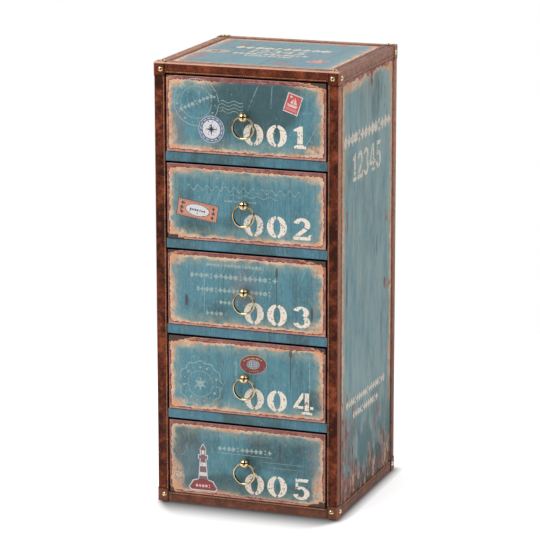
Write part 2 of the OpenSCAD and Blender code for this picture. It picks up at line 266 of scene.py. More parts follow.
class Nodes:
    """A node tree whose nodes all come from one method"""

    def __init__(self, tree):
        self.tree = tree
        tree.nodes.clear()

    def node(self, kind, settings=None, sockets=None):
        """Adds a node, sets it up, feeds its sockets and returns its outputs as terms"""
        made = self.tree.nodes.new(kind)
        for key, value in (settings or {}).items():
            setattr(made, key, value)
        for key, value in (sockets or {}).items():
            socket = made.inputs[key]
            if isinstance(value, Term):
                self.tree.links.new(value.socket, socket)
            elif socket.type == "RGBA":
                socket.default_value = linear(value)
            else:
                socket.default_value = value
        return [Term(self, socket) for socket in made.outputs]

    def seen(self):
        """1 for rays from the camera, and for those that mirrors and glass send on"""
        path = self.node("ShaderNodeLightPath")
        return path[0].most(path[3]).most(path[6])


class Paint(Nodes):
    """One material's nodes, with the object's own place in millimetres ready to read"""

    def __init__(self, name):
        self.material = bpy.data.materials.new(name)
        self.material.use_nodes = True
        super().__init__(self.material.node_tree)
        here = self.node("ShaderNodeTexCoord")[3]
        self.place = self.node("ShaderNodeVectorMath", {"operation": "SCALE"},
                               {0: here, 3: 1 / MM})[0]
        self.x, self.y, self.z = self.node("ShaderNodeSeparateXYZ", {}, {0: self.place})

    def joined(self, x, y, z=0.0):
        return self.node("ShaderNodeCombineXYZ", {}, {0: x, 1: y, 2: z})[0]

    def scaled(self, place, size, stretch):
        return self.node("ShaderNodeVectorMath", {"operation": "DIVIDE"},
                         {0: place, 1: [size * part for part in stretch]})[0]

    def noise(self, place, size, detail=2.0, roughness=0.5, stretch=(1, 1, 1)):
        """Noise from 0 to 1 in blotches of about that size, drawn out by stretch"""
        return self.node("ShaderNodeTexNoise", {},
                         {"Vector": self.scaled(place, size, stretch), "Scale": 1,
                          "Detail": detail, "Roughness": roughness})[0]

    def cells(self, place, size, stretch=(1, 1, 1)):
        """Distance from the nearest of many scattered points, in cells of about that size"""
        return self.node("ShaderNodeTexVoronoi", {},
                         {"Vector": self.scaled(place, size, stretch), "Scale": 1})[0]

    def mix(self, amount, first, second):
        """The first colour where amount is 0, and the second where it is 1"""
        return self.node("ShaderNodeMix", {"data_type": "RGBA"},
                         {0: amount, 6: first, 7: second})[2]

    def finish(self, colour, roughness, height=None, alpha=None, fixed=None):
        """Ends the material; height is relief in millimetres, and fixed holds even values"""
        sockets = {"Base Color": colour, "Roughness": roughness, **(fixed or {})}
        if height is not None:
            relief = {"Height": height, "Distance": MM}
            sockets["Normal"] = self.node("ShaderNodeBump", {}, relief)[0]
        if alpha is not None:
            sockets["Alpha"] = alpha
        surface = self.node("ShaderNodeBsdfPrincipled", {}, sockets)[0]
        self.node("ShaderNodeOutputMaterial", {}, {0: surface})
        return self.material


class Layers:
    """Colours laid one over another, each of them where its mask is 1"""

    def __init__(self, paint, colour):
        self.paint = paint
        self.colour = colour

    def lay(self, mask, colour):
        self.colour = self.paint.mix(mask, self.colour, colour)


def dress(material, *nodes):
    """Gives frame nodes a material in their own slots"""
    for node in nodes:
        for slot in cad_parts[node].material_slots:
            slot.material = material


def settle(piece, body):
    """Ties a finished piece to the body it moves with"""
    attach(piece, body)


# Worn print

class Wear(NamedTuple):
    """Where one printed face is shaded, knocked and split, in millimetres from its middle. Chips
    are side, end, length and depth. The rest are ovals by their middle and half sizes, followed
    by a strength for clouds, rust, flakes and glows, and by a turn in degrees for strokes"""
    shade: float = 0.0
    chips: list = []
    clouds: list = []
    rust: list = []
    flakes: list = []
    knots: list = []
    strokes: list = []
    glows: list = []


FRONT_WEAR = {
    1: Wear(0.02, chips=[(1, 1, 46, 9), (-1, 1, 16, 5)], clouds=[(20, 40, 74, 62, 0.62)],
            rust=[(-128, -22, 16, 34, 0.3)],
            strokes=[(15, 38, 0.8, 31, -24), (48, 42, 0.7, 20, -4), (96, 30, 0.5, 22, 0),
                     (118, -30, 0.8, 24, -30)],
            glows=[(-127, 54, 16, 8, 0.8), (-135, -40, 8, 22, 0.6), (-100, -60, 40, 6, 0.7),
                   (128, -52, 18, 10, 0.9), (137, 42, 8, 18, 0.6)]),
    2: Wear(0.0, chips=[(-1, -1, 36, 11)], clouds=[(-70, -40, 50, 20, 0.12)],
            knots=[(-4, 30, 0.5, 16)], strokes=[(-48, 22, 0.7, 30, -22), (108, -18, 0.6, 20, -26)],
            glows=[(-122, 56, 22, 6, 0.7), (-126, -56, 14, 8, 0.8), (90, -60, 44, 5, 0.6),
                   (128, 54, 16, 8, 0.7)]),
    3: Wear(-0.04, chips=[(1, 1, 44, 9), (-1, 1, 22, 6)], rust=[(-4, 6, 26, 30, 0.3)],
            knots=[(-112, -21, 3, 11), (57, 40, 2.4, 10), (57, 4, 0.7, 42), (122, -28, 2.2, 13)],
            strokes=[(-78, 2, 0.8, 46, 0), (104, 34, 0.6, 22, -20)],
            glows=[(-130, 50, 12, 9, 0.8), (132, 48, 12, 10, 0.8), (130, -52, 14, 9, 0.8),
                   (-137, -20, 6, 30, 0.5)]),
    4: Wear(-0.04, chips=[(-1, 1, 46, 12), (1, 1, 20, 10)], clouds=[(122, -38, 24, 26, 0.3)],
            knots=[(83, 52, 3, 8), (83, 22, 1.1, 36)],
            strokes=[(-19, 14, 2.0, 24, 0), (118, 14, 1.2, 34, 0)],
            glows=[(-116, 54, 24, 7, 0.7), (134, 50, 10, 12, 0.7), (-128, -54, 16, 8, 0.8),
                   (60, -61, 60, 4, 0.6)]),
    5: Wear(0.05, chips=[(1, -1, 38, 11), (-1, -1, 12, 14)],
            clouds=[(62, 24, 66, 36, 0.14), (-112, 4, 34, 50, 0.16), (0, -46, 110, 20, 0.26)],
            rust=[(130, 20, 14, 40, 0.25), (-110, 2, 34, 50, 0.12)],
            knots=[(63, 26, 1.6, 20), (22, 40, 0.8, 14)],
            glows=[(-132, -38, 12, 26, 0.9), (134, -36, 11, 28, 0.9), (-80, -61, 50, 5, 0.8),
                   (-40, 58, 40, 5, 0.7)]),
}
RIGHT_WEAR = Wear(0.0, clouds=[(18, 330, 60, 44, 0.3), (20, -300, 150, 90, 0.36)],
                  flakes=[(-112, -300, 52, 110, 0.15), (104, -345, 30, 50, 0.15),
                          (60, -275, 18, 38, 0.14), (-116, 118, 9, 36, 0.12),
                          (108, 105, 10, 30, 0.12), (114, -30, 26, 14, 0.14),
                          (-134, -60, 16, 300, 0.03), (20, 366, 12, 20, 0.14),
                          (96, 320, 8, 30, 0.12)],
                  knots=[(-86, 124, 1.4, 44), (55, 52, 2.2, 20), (82, -98, 2.0, 26),
                         (-113, 10, 3, 40)],
                  strokes=[(-80, 92, 2.4, 40, 0), (-20, -140, 2.4, 50, 0)],
                  glows=[(-84, 362, 56, 9, 0.9), (128, 352, 10, 24, 0.6), (46, -340, 14, 22, 0.4)])
LEFT_WEAR = Wear(0.0, clouds=[(-20, 300, 80, 50, 0.25), (20, -330, 120, 60, 0.2)],
                 flakes=[(118, -280, 40, 120, 0.085), (-112, -340, 34, 60, 0.08),
                         (110, 90, 14, 50, 0.10)],
                 knots=[(64, 130, 1.6, 40), (-70, -60, 2.2, 26)], strokes=[(-30, 60, 2.2, 44, 0)])
TOP_WEAR = Wear(-0.12, clouds=[(-60, 60, 70, 30, 0.15)],
                rust=[(-128, 92, 8, 20, 0.8), (-96, 84, 7, 14, 0.8), (-17, 136, 4, 22, 0.8),
                      (82, 118, 9, 16, 0.8), (38, 122, 6, 8, 0.6), (-130, -84, 18, 44, 0.6),
                      (40, -100, 12, 12, 0.7), (96, 26, 8, 8, 0.5), (118, 100, 4, 12, 0.6),
                      (-128, -40, 12, 14, 0.8), (60, -118, 12, 12, 0.7), (-60, 124, 24, 10, 0.4)])
BACK_WEAR = Wear(0.05, flakes=[(-110, -320, 40, 70, 0.08), (100, -200, 20, 60, 0.09)])

# Keeps the noise of one printed face clear of the next one's, in millimetres per seed
SEED_STEP = 137.0


def inside_distance(across, up, half_across, half_up, rounding):
    """Distance inwards from a rounded rectangle's outline"""
    out_across = abs(across) - (half_across - rounding)
    out_up = abs(up) - (half_up - rounding)
    square = out_across.most(0.0) ** 2.0 + out_up.most(0.0) ** 2.0
    return rounding - square ** 0.5 - out_across.most(out_up).least(0.0)


def oval_mask(across, up, place, soft, turn=0.0):
    """1 in an oval given by its middle and half sizes, and easing out to 0 round it"""
    middle, level, wide, high = place
    cosine, sine = math.cos(math.radians(turn)), math.sin(math.radians(turn))
    aside, along = across - middle, up - level
    far = (((aside * cosine + along * sine) / wide) ** 2.0
           + ((along * cosine - aside * sine) / high) ** 2.0)
    return far.step(1 + soft, 1 - soft)


def printed_ground(paint, look, spot, shade=0.0, blue=0.0):
    """The print's own colour: clouds, faint boards, fine scratches and rubbed places"""
    cloud = paint.noise(spot, look.cloud_size / MM, 3, 0.55, (1, 1.4, 1))
    plank = paint.noise(spot, look.grain_width / MM, 3, 0.6, (1, 40, 1))
    grain = paint.noise(spot, 1.3, 4, 0.65, (1, 9, 1))
    rub = paint.noise(spot, 9, 5, 0.72)
    board = paint.noise(spot, 22, 1, 0.5, (1, 40, 1))
    coat = Layers(paint, paint.mix(blue, look.teal, look.blue_teal))
    coat.lay(((cloud - 0.46 + shade) * 3.4).step(0, 1) * 0.9, look.deep_teal)
    coat.lay(board.step(0.52, 0.62) * 0.22, look.deep_teal)
    coat.lay(plank.step(0.54, 0.68) * 0.5, look.deep_teal)
    pale = 1 - shade * 1.3
    coat.lay(plank.step(0.36, 0.3) * pale * 0.3, look.pale_teal)
    coat.lay(rub.step(0.5, 0.72) * pale * 0.35, look.pale_teal)
    coat.lay(grain.step(0.5, 0.7) * 0.4, look.deep_teal)
    coat.lay(grain.step(0.46, 0.3) * pale * 0.42, look.pale_teal)
    return coat, grain


def cracks(paint, spot, size, amount):
    """Mask of long dark splits that run with the grain"""
    split = paint.noise(spot, size, 2, 0.5, (1, 14, 1))
    gathered = paint.noise(spot, size * 12, 1, 0.5)
    return (split - 0.68 + amount).step(0.0, 0.05) * gathered.step(0.5, 0.62)


def scratches(paint, spot, degrees, size):
    """Mask of thin straight pale scratches that lie at an angle"""
    turned = paint.node("ShaderNodeVectorRotate", {"rotation_type": "Z_AXIS"},
                        {"Vector": spot, "Angle": math.radians(degrees)})[0]
    thin = paint.noise(turned, size, 1, 0.5, (1, 60, 1))
    gathered = paint.noise(spot, size * 32, 2, 0.5)
    return thin.step(0.64, 0.7) * gathered.step(0.48, 0.56)


class WornFace:
    """The print on one flat face, worn through along its edges. Across and up run from the face's
    middle; flaking is 0 on a drawer front, and up to 1 on a board that peels in large patches"""

    def __init__(self, paint, look, across, up, half, wear, flaking, seed):
        self.paint, self.look, self.wear, self.flaking = paint, look, wear, flaking
        self.across, self.up = across, up
        self.half_across, self.half_up = half
        self.spot = spot = paint.joined(across, up, SEED_STEP * seed)
        self.shade = wear.shade
        for *place, strength in wear.clouds:
            self.shade = self.oval(place) * strength + self.shade
        self.coat, self.grain = printed_ground(paint, look, spot, self.shade)

        drawn_out = (1, 1 + 1.6 * flaking, 1)
        self.wander = paint.noise(spot, 34, 2, 0.5, drawn_out)
        self.ragged = paint.noise(spot, 7, 4, 0.65, drawn_out)
        self.scallop = paint.cells(spot, 5.6, drawn_out)
        self.from_end = self.half_across - abs(across)
        from_level = self.half_up - abs(up)
        self.near_end = (self.from_end - from_level).step(-8, 12)
        self.corner = self.from_end.step(30, 6) * from_level.step(30, 6)
        self.inside = inside_distance(across, up, *half, 5)
        border = inside_distance(across, up + 1.1 * (1 - flaking), self.half_across,
                                 self.half_up - 1.7 - 1.5 * flaking, 12)
        sway = 5 + 22 * flaking * self.near_end
        tooth = 3 + 13 * flaking * self.near_end
        depth = border - (self.wander - 0.5) * sway - (self.ragged - 0.5) * tooth
        self.past = depth - self.scallop * 3.6 - look.torn_width / MM
        self.patch = paint.noise(spot, 17, 3, 0.55)
        self.feather = paint.noise(spot, 3.2, 4, 0.7, (1, 1.7, 1))
        self.stain = paint.noise(spot, 8, 4, 0.65)
        self.blush = paint.noise(spot, 24, 2, 0.5)

    def age(self):
        """Runs every kind of wear, and returns the face's colour, relief and roughness"""
        self.bleach()
        self.scratch()
        self.bare()
        self.knock()
        if self.flaking:
            self.flake()
        relief = self.grain * 0.03 - self.worn * 0.09 - self.split * 0.12
        return self.coat.colour, relief, 0.12 * self.worn + self.look.gloss

    def oval(self, place, soft=0.95, turn=0.0):
        return oval_mask(self.across, self.up, place, soft, turn)

    def bleach(self):
        """Fades the print towards its torn border, where it ends in a cream and orange band"""
        paint, look, coat, past, feather = self.paint, self.look, self.coat, self.past, self.feather
        if self.flaking:
            # Painted sheen on flaking boards: paler streaky teal stands in for the grazing shine of
            # a glossier coat, mixed with rubbed streaks
            rubbed_and_sheen = paint.noise(self.spot, 24, 4, 0.66, (1, 4, 1))
            coat.lay(rubbed_and_sheen.step(0.24, 0.7) * 0.94, look.pale_teal)
            streak = paint.noise(self.spot, 13, 3, 0.6, (1, 14, 1))
            coat.lay(streak.step(0.4, 0.66) * 0.26, look.haze)
        haze = past.step(26, 2) * (feather * 0.6 + self.patch * 0.7).step(0.38, 0.84)
        coat.lay(haze * (0.6 - self.shade), look.haze)
        for *place, strength in self.wear.rust:
            coat.lay(self.oval(place) * feather.step(0.25, 0.6) * strength, look.flake)
        broad = self.patch.step(0.35, 0.65) * 5 + 4.6 + self.corner * 6
        reach = broad * (1.15 + 0.6 * self.flaking - self.near_end * 0.3)
        faded = (past / reach + (feather - 0.5) * 0.8).step(1.05, 0.2)
        scorched = (self.blush + self.corner * 0.12).step(0.42, 0.62)
        cream = paint.mix(scorched, look.cream, look.orange)
        coat.lay(faded * (0.88 - self.shade * 2.0), cream)
        coat.lay(faded * self.stain.step(0.54, 0.68) * 0.5, look.flake)
        coat.lay(past.step(1.6, 0.5) * feather.step(0.3, 0.55) * (0.8 - self.shade), look.cream)
        for *place, strength in self.wear.glows:
            coat.lay(self.oval(place) * feather.step(0.3, 0.62) * strength, cream)
        ends = self.from_end.step(70, 8) * self.blush.step(0.46, 0.56)
        coat.lay(paint.cells(self.spot, 3.8).step(0.24, 0.12) * ends * 0.7, look.blush)

    def scratch(self):
        """Scratches, pale dots, dark splits and long rubbed strokes"""
        paint, look, coat, spot = self.paint, self.look, self.coat, self.spot
        scrape = scratches(paint, spot, 24, 0.9).most(scratches(paint, spot, -12, 0.7))
        coat.lay(scrape * (0.6 - self.shade * 0.7), look.pale_teal)
        dot = paint.cells(spot, 11)
        coat.lay(dot.step(0.085, 0.05) * self.patch.step(0.46, 0.54) * 0.8, look.cream)
        self.split = cracks(paint, spot, 3.4, 0.0)
        for place in self.wear.knots:
            knot = self.oval(place, 0.4) + (self.ragged - 0.5) * 1.2
            self.split = self.split.most(knot.step(0.4, 0.7))
        coat.lay(self.split * 0.8, look.chip)
        for *place, turn in self.wear.strokes:
            stroke = self.oval(place, 0.5, turn) * self.feather.step(0.38, 0.52)
            coat.lay(stroke * 0.85, look.pale_teal)

    def bare(self):
        """The bare ground outside the torn border"""
        look, past, stain = self.look, self.past, self.stain
        self.worn = past.step(0.25, -0.25)
        ground = Layers(self.paint, look.mauve)
        ground.lay(stain.step(0.4, 0.7) * 0.55, look.blush)
        ground.lay(self.patch.step(0.5, 0.62) * 0.55, look.maroon)
        ground.lay((self.wander + self.corner * 0.1).step(0.6, 0.7) * 0.5, look.orange)
        ground.lay(past.step(-2.0, -0.6) * stain.step(0.24, 0.36) * 0.95, look.maroon)
        ground.lay((self.half_up - self.up).step(6, 2) * 0.4, look.maroon)
        ground.lay((self.up + self.half_up).step(5, 1) * stain.step(0.3, 0.5) * 0.6, look.blush)
        ground.lay(self.inside.step(1.1, 0.3) * 0.45, look.blush)
        self.coat.lay(self.worn, ground.colour)

    def knock(self):
        """Corners that were knocked down to the board"""
        for side, end, length, drop in self.wear.chips:
            along = (self.half_across - self.across * side) / length
            down = (self.half_up - self.up * end) / drop
            knock = (along + down + (self.ragged - 0.5) * 1.5 + (self.wander - 0.5) * 0.8
                     - self.scallop * 0.25)
            mask = knock.step(0.92, 0.82)
            self.coat.lay(knock.step(1.3, 0.95) * 0.75, self.look.orange)
            self.coat.lay(mask, self.look.chip)
            self.worn = self.worn.most(mask)

    def flake(self):
        """Darkens, soots and glows along the foot, and peels the print off in rusty patches"""
        paint, look, coat, spot = self.paint, self.look, self.coat, self.spot
        rise = self.up + self.half_up
        tall = paint.noise(spot, 20, 5, 0.6, (1, 3.4, 1))
        soot = paint.noise(spot, 14, 5, 0.62, (1, 3.0, 1))
        smear = paint.noise(spot, 34, 4, 0.62, (1, 1.8, 1))
        coat.lay(rise.step(210, 60) * smear.step(0.36, 0.56) * 0.95, look.low_teal)
        foot = rise.step(150, 70)
        glow = (tall + rise.step(84, 4) * 0.25).step(0.63, 0.73) * foot
        coat.lay(glow * 0.8, paint.mix(self.stain.step(0.44, 0.56), look.orange, look.flake))
        sooty = (soot + rise.step(90, 2) * 0.17).step(0.63, 0.66) * foot
        coat.lay(sooty * 0.85, look.lining_and_shade)
        coarse = paint.noise(spot, 12, 5, 0.62, (1, 2.8, 1))
        small = paint.noise(spot, 4.5, 4, 0.65, (1, 2.2, 1))
        rim = self.inside.step(24, 3)
        peel = paint.mix(rim, coarse, small)
        for *place, strength in self.wear.flakes:
            peel = peel + self.oval(place, 0.9) * strength
        peel = peel + rim * 0.035
        flake = peel.step(0.655, 0.68)
        coat.lay(flake * 0.9, paint.mix(peel.step(0.72, 0.77), look.flake, look.chip))
        self.worn = self.worn.most(flake)


class BoardFinish(Operator):
    """Gives the carcass boards their worn print outside and dark lining inside, which also paints
    the shade within the carcass
    """
    bl_idname = "trunk_cabinet.boards"
    bl_label = "Board Print"

    def execute(self, context):
        look = context.scene.trunk_print
        wood = context.scene.trunk_wood
        half_width, half_depth, half_height = [half - STRIP_WIDTH for half in BODY_HALF]
        for node, side, wear in (("right_side_board", 1, RIGHT_WEAR),
                                 ("left_side_board", -1, LEFT_WEAR)):
            paint = Paint(node)
            up = paint.z - BODY_MIDDLE.z
            across = (paint.y - BODY_MIDDLE.y) * side
            outside = (paint.x * side).step(BOARD_HIGH.x - 4, BOARD_HIGH.x - 2)
            half = (half_depth, half_height)
            self.coat(node, WornFace(paint, look, across, up, half, wear, 1.0, 11 + side), outside)

        paint = Paint("top_board")
        outside = paint.z.step(BOARD_HIGH.z - 4, BOARD_HIGH.z - 2)
        half, up = (half_width, half_depth), paint.y - BODY_MIDDLE.y
        face = WornFace(paint, look, paint.x, up, half, TOP_WEAR, 0.0, 13)
        self.coat("top_board", face, outside)

        paint = Paint("back_board")
        outside = paint.y.step(BOARD_HIGH.y - 3, BOARD_HIGH.y - 2)
        half, up = (half_width, half_height), paint.z - BODY_MIDDLE.z
        face = WornFace(paint, look, -1 * paint.x, up, half, BACK_WEAR, 0.9, 14)
        self.coat("back_board", face, outside)

        paint = Paint("bottom_board")
        fleck = paint.noise(paint.place, 1.3, 3, 0.7)
        colour = paint.mix(fleck, wood.board, look.lining_and_shade)
        dress(paint.finish(colour, 0.7, fleck * 0.05), "bottom_board")

        paint = Paint("shelves")
        rail, grain = printed_ground(paint, look, paint.joined(paint.x, paint.z, 55.0), 0.05, 0.85)
        split = cracks(paint, paint.joined(paint.x, paint.z * 0.8, 31.0), 3.2, 0.03)
        rail.lay(split * 0.7, look.chip)
        fleck = paint.noise(paint.joined(paint.z * 3, paint.x), 2.2, 3, 0.7)
        # Only the shelf fronts are printed; behind them the shelves take the dark lining, painted
        # shade round the drawers
        front = paint.y.step(BOARD_LOW.y + 3, BOARD_LOW.y + 2)
        colour = paint.mix(front, paint.mix(fleck * 0.4, look.lining_and_shade, wood.board), rail.colour)
        dress(paint.finish(colour, look.gloss, grain * 0.03 - split * 0.1),
              *[f"shelf_{level}" for level in range(1, len(DRAWERS))])
        return {"FINISHED"}

    def coat(self, node, face, outside):
        """Prints one board's outer face; the rest of it is lined in dark paper, which also paints
        the shade within the carcass
        """
        paint, look = face.paint, face.look
        colour, relief, roughness = face.age()
        nap = paint.noise(paint.place, 0.9, 2, 0.7)
        lining_and_shade = paint.mix(nap * 0.3, look.lining_and_shade, look.chip)
        colour = paint.mix(outside, lining_and_shade, colour)
        sheen = {"Specular IOR Level": 0.5 - 0.35 * face.flaking}
        dress(paint.finish(colour, roughness, relief * outside, fixed=sheen), node)


class FrontFinish(Operator):
    """Gives each drawer front its own worn print, with its edges painted dark as shade from the
    gaps round it, and a raw inner face
    """
    bl_idname = "trunk_cabinet.fronts"
    bl_label = "Drawer Front Print"

    def execute(self, context):
        look = context.scene.trunk_print
        wood = context.scene.trunk_wood
        for drawer in DRAWERS:
            node = f"drawer_{drawer}_front"
            low, high = span(node)
            paint = Paint(node)
            up = paint.z - (low.z + high.z) / 2
            half = ((high.x - low.x) / 2, (high.z - low.z) / 2)
            face = WornFace(paint, look, paint.x, up, half, FRONT_WEAR[drawer], 0.0, drawer)
            colour, relief, roughness = face.age()
            fleck = paint.noise(paint.place, 1.2, 3, 0.7)
            # Painted shade: the front's edges behind its face take the dark lining colour
            edge = paint.y.step(low.y + 0.5, low.y + 1.1)
            inner = paint.y.step(high.y - 0.8, high.y - 0.3)
            colour = paint.mix(edge, colour, look.lining_and_shade)
            colour = paint.mix(inner, colour, paint.mix(fleck, wood.board, wood.hardboard))
            dress(paint.finish(colour, roughness, relief * (1 - edge)), node)
        return {"FINISHED"}


# Leather edging

def leather_material(look, name, depth):
    """Mottled leather with pebbled grain, rubbed pale along the cabinet's outer edges"""
    paint = Paint(name)
    off_x = BODY_HALF.x - abs(paint.x)
    off_y = BODY_HALF.y - abs(paint.y - BODY_MIDDLE.y)
    off_z = BODY_HALF.z - abs(paint.z - BODY_MIDDLE.z)
    from_edge = off_x.least(off_y).most(off_x.most(off_y).least(off_z))
    mottle = paint.noise(paint.place, 24, 4, 0.6)
    blotch = paint.noise(paint.place, 6, 3, 0.6)
    fine = paint.noise(paint.place, 1.6, 2, 0.6)
    coat = Layers(paint, look.brown)
    coat.lay(mottle.step(0.44, 0.6) * 0.95, look.dark)
    coat.lay(mottle.step(0.45, 0.32) * 0.65, look.worn)
    coat.lay(blotch.step(0.5, 0.7) * 0.5, look.dark)
    coat.lay(blotch.step(0.42, 0.3) * 0.4, look.worn)
    coat.lay(fine.step(0.55, 0.8) * 0.35, look.worn)
    rubbed_and_sheen = (from_edge + (blotch - 0.5) * 3).step(2.4, 0.2)
    coat.lay(rubbed_and_sheen * 0.55, look.worn)
    below_top = BODY_HIGH.z - paint.z
    streak = paint.noise(paint.place, 5, 3, 0.6, (1, 6, 1))
    # Painted sheen on the top, weaker towards its right end, and on the sides, stronger towards
    # their top
    lid_sheen = 0.56 - paint.x.step(100, 150) * 0.34 - streak.step(0.5, 0.62) * 0.24
    side_sheen = below_top.step(760, 60) * 0.5 + 0.16 - below_top.step(40, 20) * 0.2
    fade_and_sheen = (below_top.step(1.6, 0.6) * lid_sheen).most(off_x.step(1.6, 0.6) * side_sheen)
    coat.lay(fade_and_sheen * (blotch.step(0.34, 0.6) * 0.7 + 0.5), look.fade_and_sheen)
    on_front_or_back = off_y.step(2, 1)
    coat.lay(below_top.step(23, 18) * on_front_or_back * fine.step(0.4, 0.6) * 0.4, look.worn)
    above_foot = paint.z - BODY_LOW.z
    coat.lay(above_foot.step(27, 19) * on_front_or_back * 0.14, look.fade_and_sheen)
    patch_reach = off_x.most(off_y).most(off_z * (PATCH_WIDTH / PATCH_HEIGHT))
    # Painted shade: a dark line round each corner patch's outline, on the patch and on the strip
    # beside it
    coat.lay(abs(patch_reach - PATCH_WIDTH).step(1.5, 0.5) * 0.75, look.dark)
    behind_front = paint.y - BODY_LOW.y
    # Painted highlight along the rounded top front edge, broken by the fine mottling
    edge_highlight = below_top.most(behind_front).step(2.6, 1.4)
    coat.lay(edge_highlight * fine.step(0.2, 0.45) * 0.85, look.edge)
    # Painted shade: leather folded back into the drawer openings is near black
    coat.lay(off_x.least(off_z).step(15, 17) * behind_front.step(0.5, 1.6), look.gap)
    pebble = paint.cells(paint.place, look.grain_size / MM)
    crease = paint.noise(paint.place, 5, 3, 0.6)
    relief = (pebble * -0.12 + crease * 0.12) * depth
    return paint.finish(coat.colour, 0.42 - 0.1 * rubbed_and_sheen, relief,
                        fixed={"Specular IOR Level": 0.12})


class LeatherFinish(Operator):
    """Covers the edging strips and corner patches in leather"""
    bl_idname = "trunk_cabinet.leather"
    bl_label = "Leather Edging"

    def execute(self, context):
        look = context.scene.trunk_leather
        strips = [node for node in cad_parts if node.endswith("_edging")]
        dress(leather_material(look, "edging_leather", 1.0), *strips)
        dress(leather_material(look, "patch_leather", 1.2), "corner_patches")
        return {"FINISHED"}


def seam_lines(inset):
    """Straight lines along every strip at a distance from its inner edge, in metres, each with
    the way its face looks. The front's top and bottom strips end where the opening starts"""
    ends = STRIP_WIDTH + 5
    drop_top = BODY_HIGH.z - OPENING_TOP
    across = STRIP_WIDTH - inset
    low, high = BODY_LOW, BODY_HIGH
    lines = []

    def add(start, end, normal):
        lines.append((Vector(start) * MM, Vector(end) * MM, Vector(normal)))

    for y, normal_y, trim in ((low.y, -1, drop_top), (high.y, 1, STRIP_WIDTH)):
        for x in (low.x + across, high.x - across):
            add((x, y, low.z + ends), (x, y, high.z - ends), (0, normal_y, 0))
        for z in (low.z + trim - inset, high.z - trim + inset):
            add((low.x + ends, y, z), (high.x - ends, y, z), (0, normal_y, 0))
    for x, normal_x in ((low.x, -1), (high.x, 1)):
        for y in (low.y + across, high.y - across):
            add((x, y, low.z + ends), (x, y, high.z - ends), (normal_x, 0, 0))
        for z in (low.z + across, high.z - across):
            add((x, low.y + ends, z), (x, high.y - ends, z), (normal_x, 0, 0))
    for x in (low.x + across, high.x - across):
        add((x, low.y + ends, high.z), (x, high.y - ends, high.z), (0, 0, 1))
    for y in (low.y + across, high.y - across):
        add((low.x + ends, y, high.z), (high.x - ends, y, high.z), (0, 0, 1))
    return lines


def line_mesh(name, lines, rise):
    """A mesh of loose edges, one for each line, lifted off its face"""
    mesh = bpy.data.meshes.new(name)
    points = []
    for start, end, normal in lines:
        points += [start + normal * rise, end + normal * rise]
    edges = [(2 * index, 2 * index + 1) for index in range(len(lines))]
    mesh.from_pydata(points, edges, [])
    piece = bpy.data.objects.new(name, mesh)
    bpy.context.scene.collection.objects.link(piece)
    return piece


class Pattern(Nodes):
    """A Geometry Nodes tree with named inputs"""

    def __init__(self, name, inputs):
        super().__init__(bpy.data.node_groups.new(name, "GeometryNodeTree"))
        for way in ("INPUT", "OUTPUT"):
            self.tree.interface.new_socket("Geometry", in_out=way, socket_type="NodeSocketGeometry")
        for label, kind in inputs.items():
            self.tree.interface.new_socket(label, in_out="INPUT", socket_type=kind)
        geometry, *self.given = self.node("NodeGroupInput")[:1 + len(inputs)]
        self.curve = self.node("GeometryNodeMeshToCurve", {}, {0: geometry})[0]

    def close(self, geometry, material):
        """Ends the tree in real geometry with its material"""
        real = self.node("GeometryNodeRealizeInstances", {}, {0: geometry})[0]
        smooth = self.node("GeometryNodeSetShadeSmooth", {}, {0: real})[0]
        dressed = self.node("GeometryNodeSetMaterial", {}, {0: smooth, "Material": material})[0]
        self.node("NodeGroupOutput", {}, {0: dressed})

    def grow(self, piece, values):
        """Runs the tree on a piece and leaves it as a plain mesh"""
        modifier = piece.modifiers.new(self.tree.name, "NODES")
        modifier.node_group = self.tree
        for item in self.tree.interface.items_tree:
            if item.in_out == "INPUT" and item.name in values:
                modifier[item.identifier] = values[item.name]
        bpy.context.view_layer.update()
        evaluated = piece.evaluated_get(bpy.context.evaluated_depsgraph_get())
        mesh = bpy.data.meshes.new_from_object(evaluated)
        piece.modifiers.clear()
        piece.data = mesh
        return piece


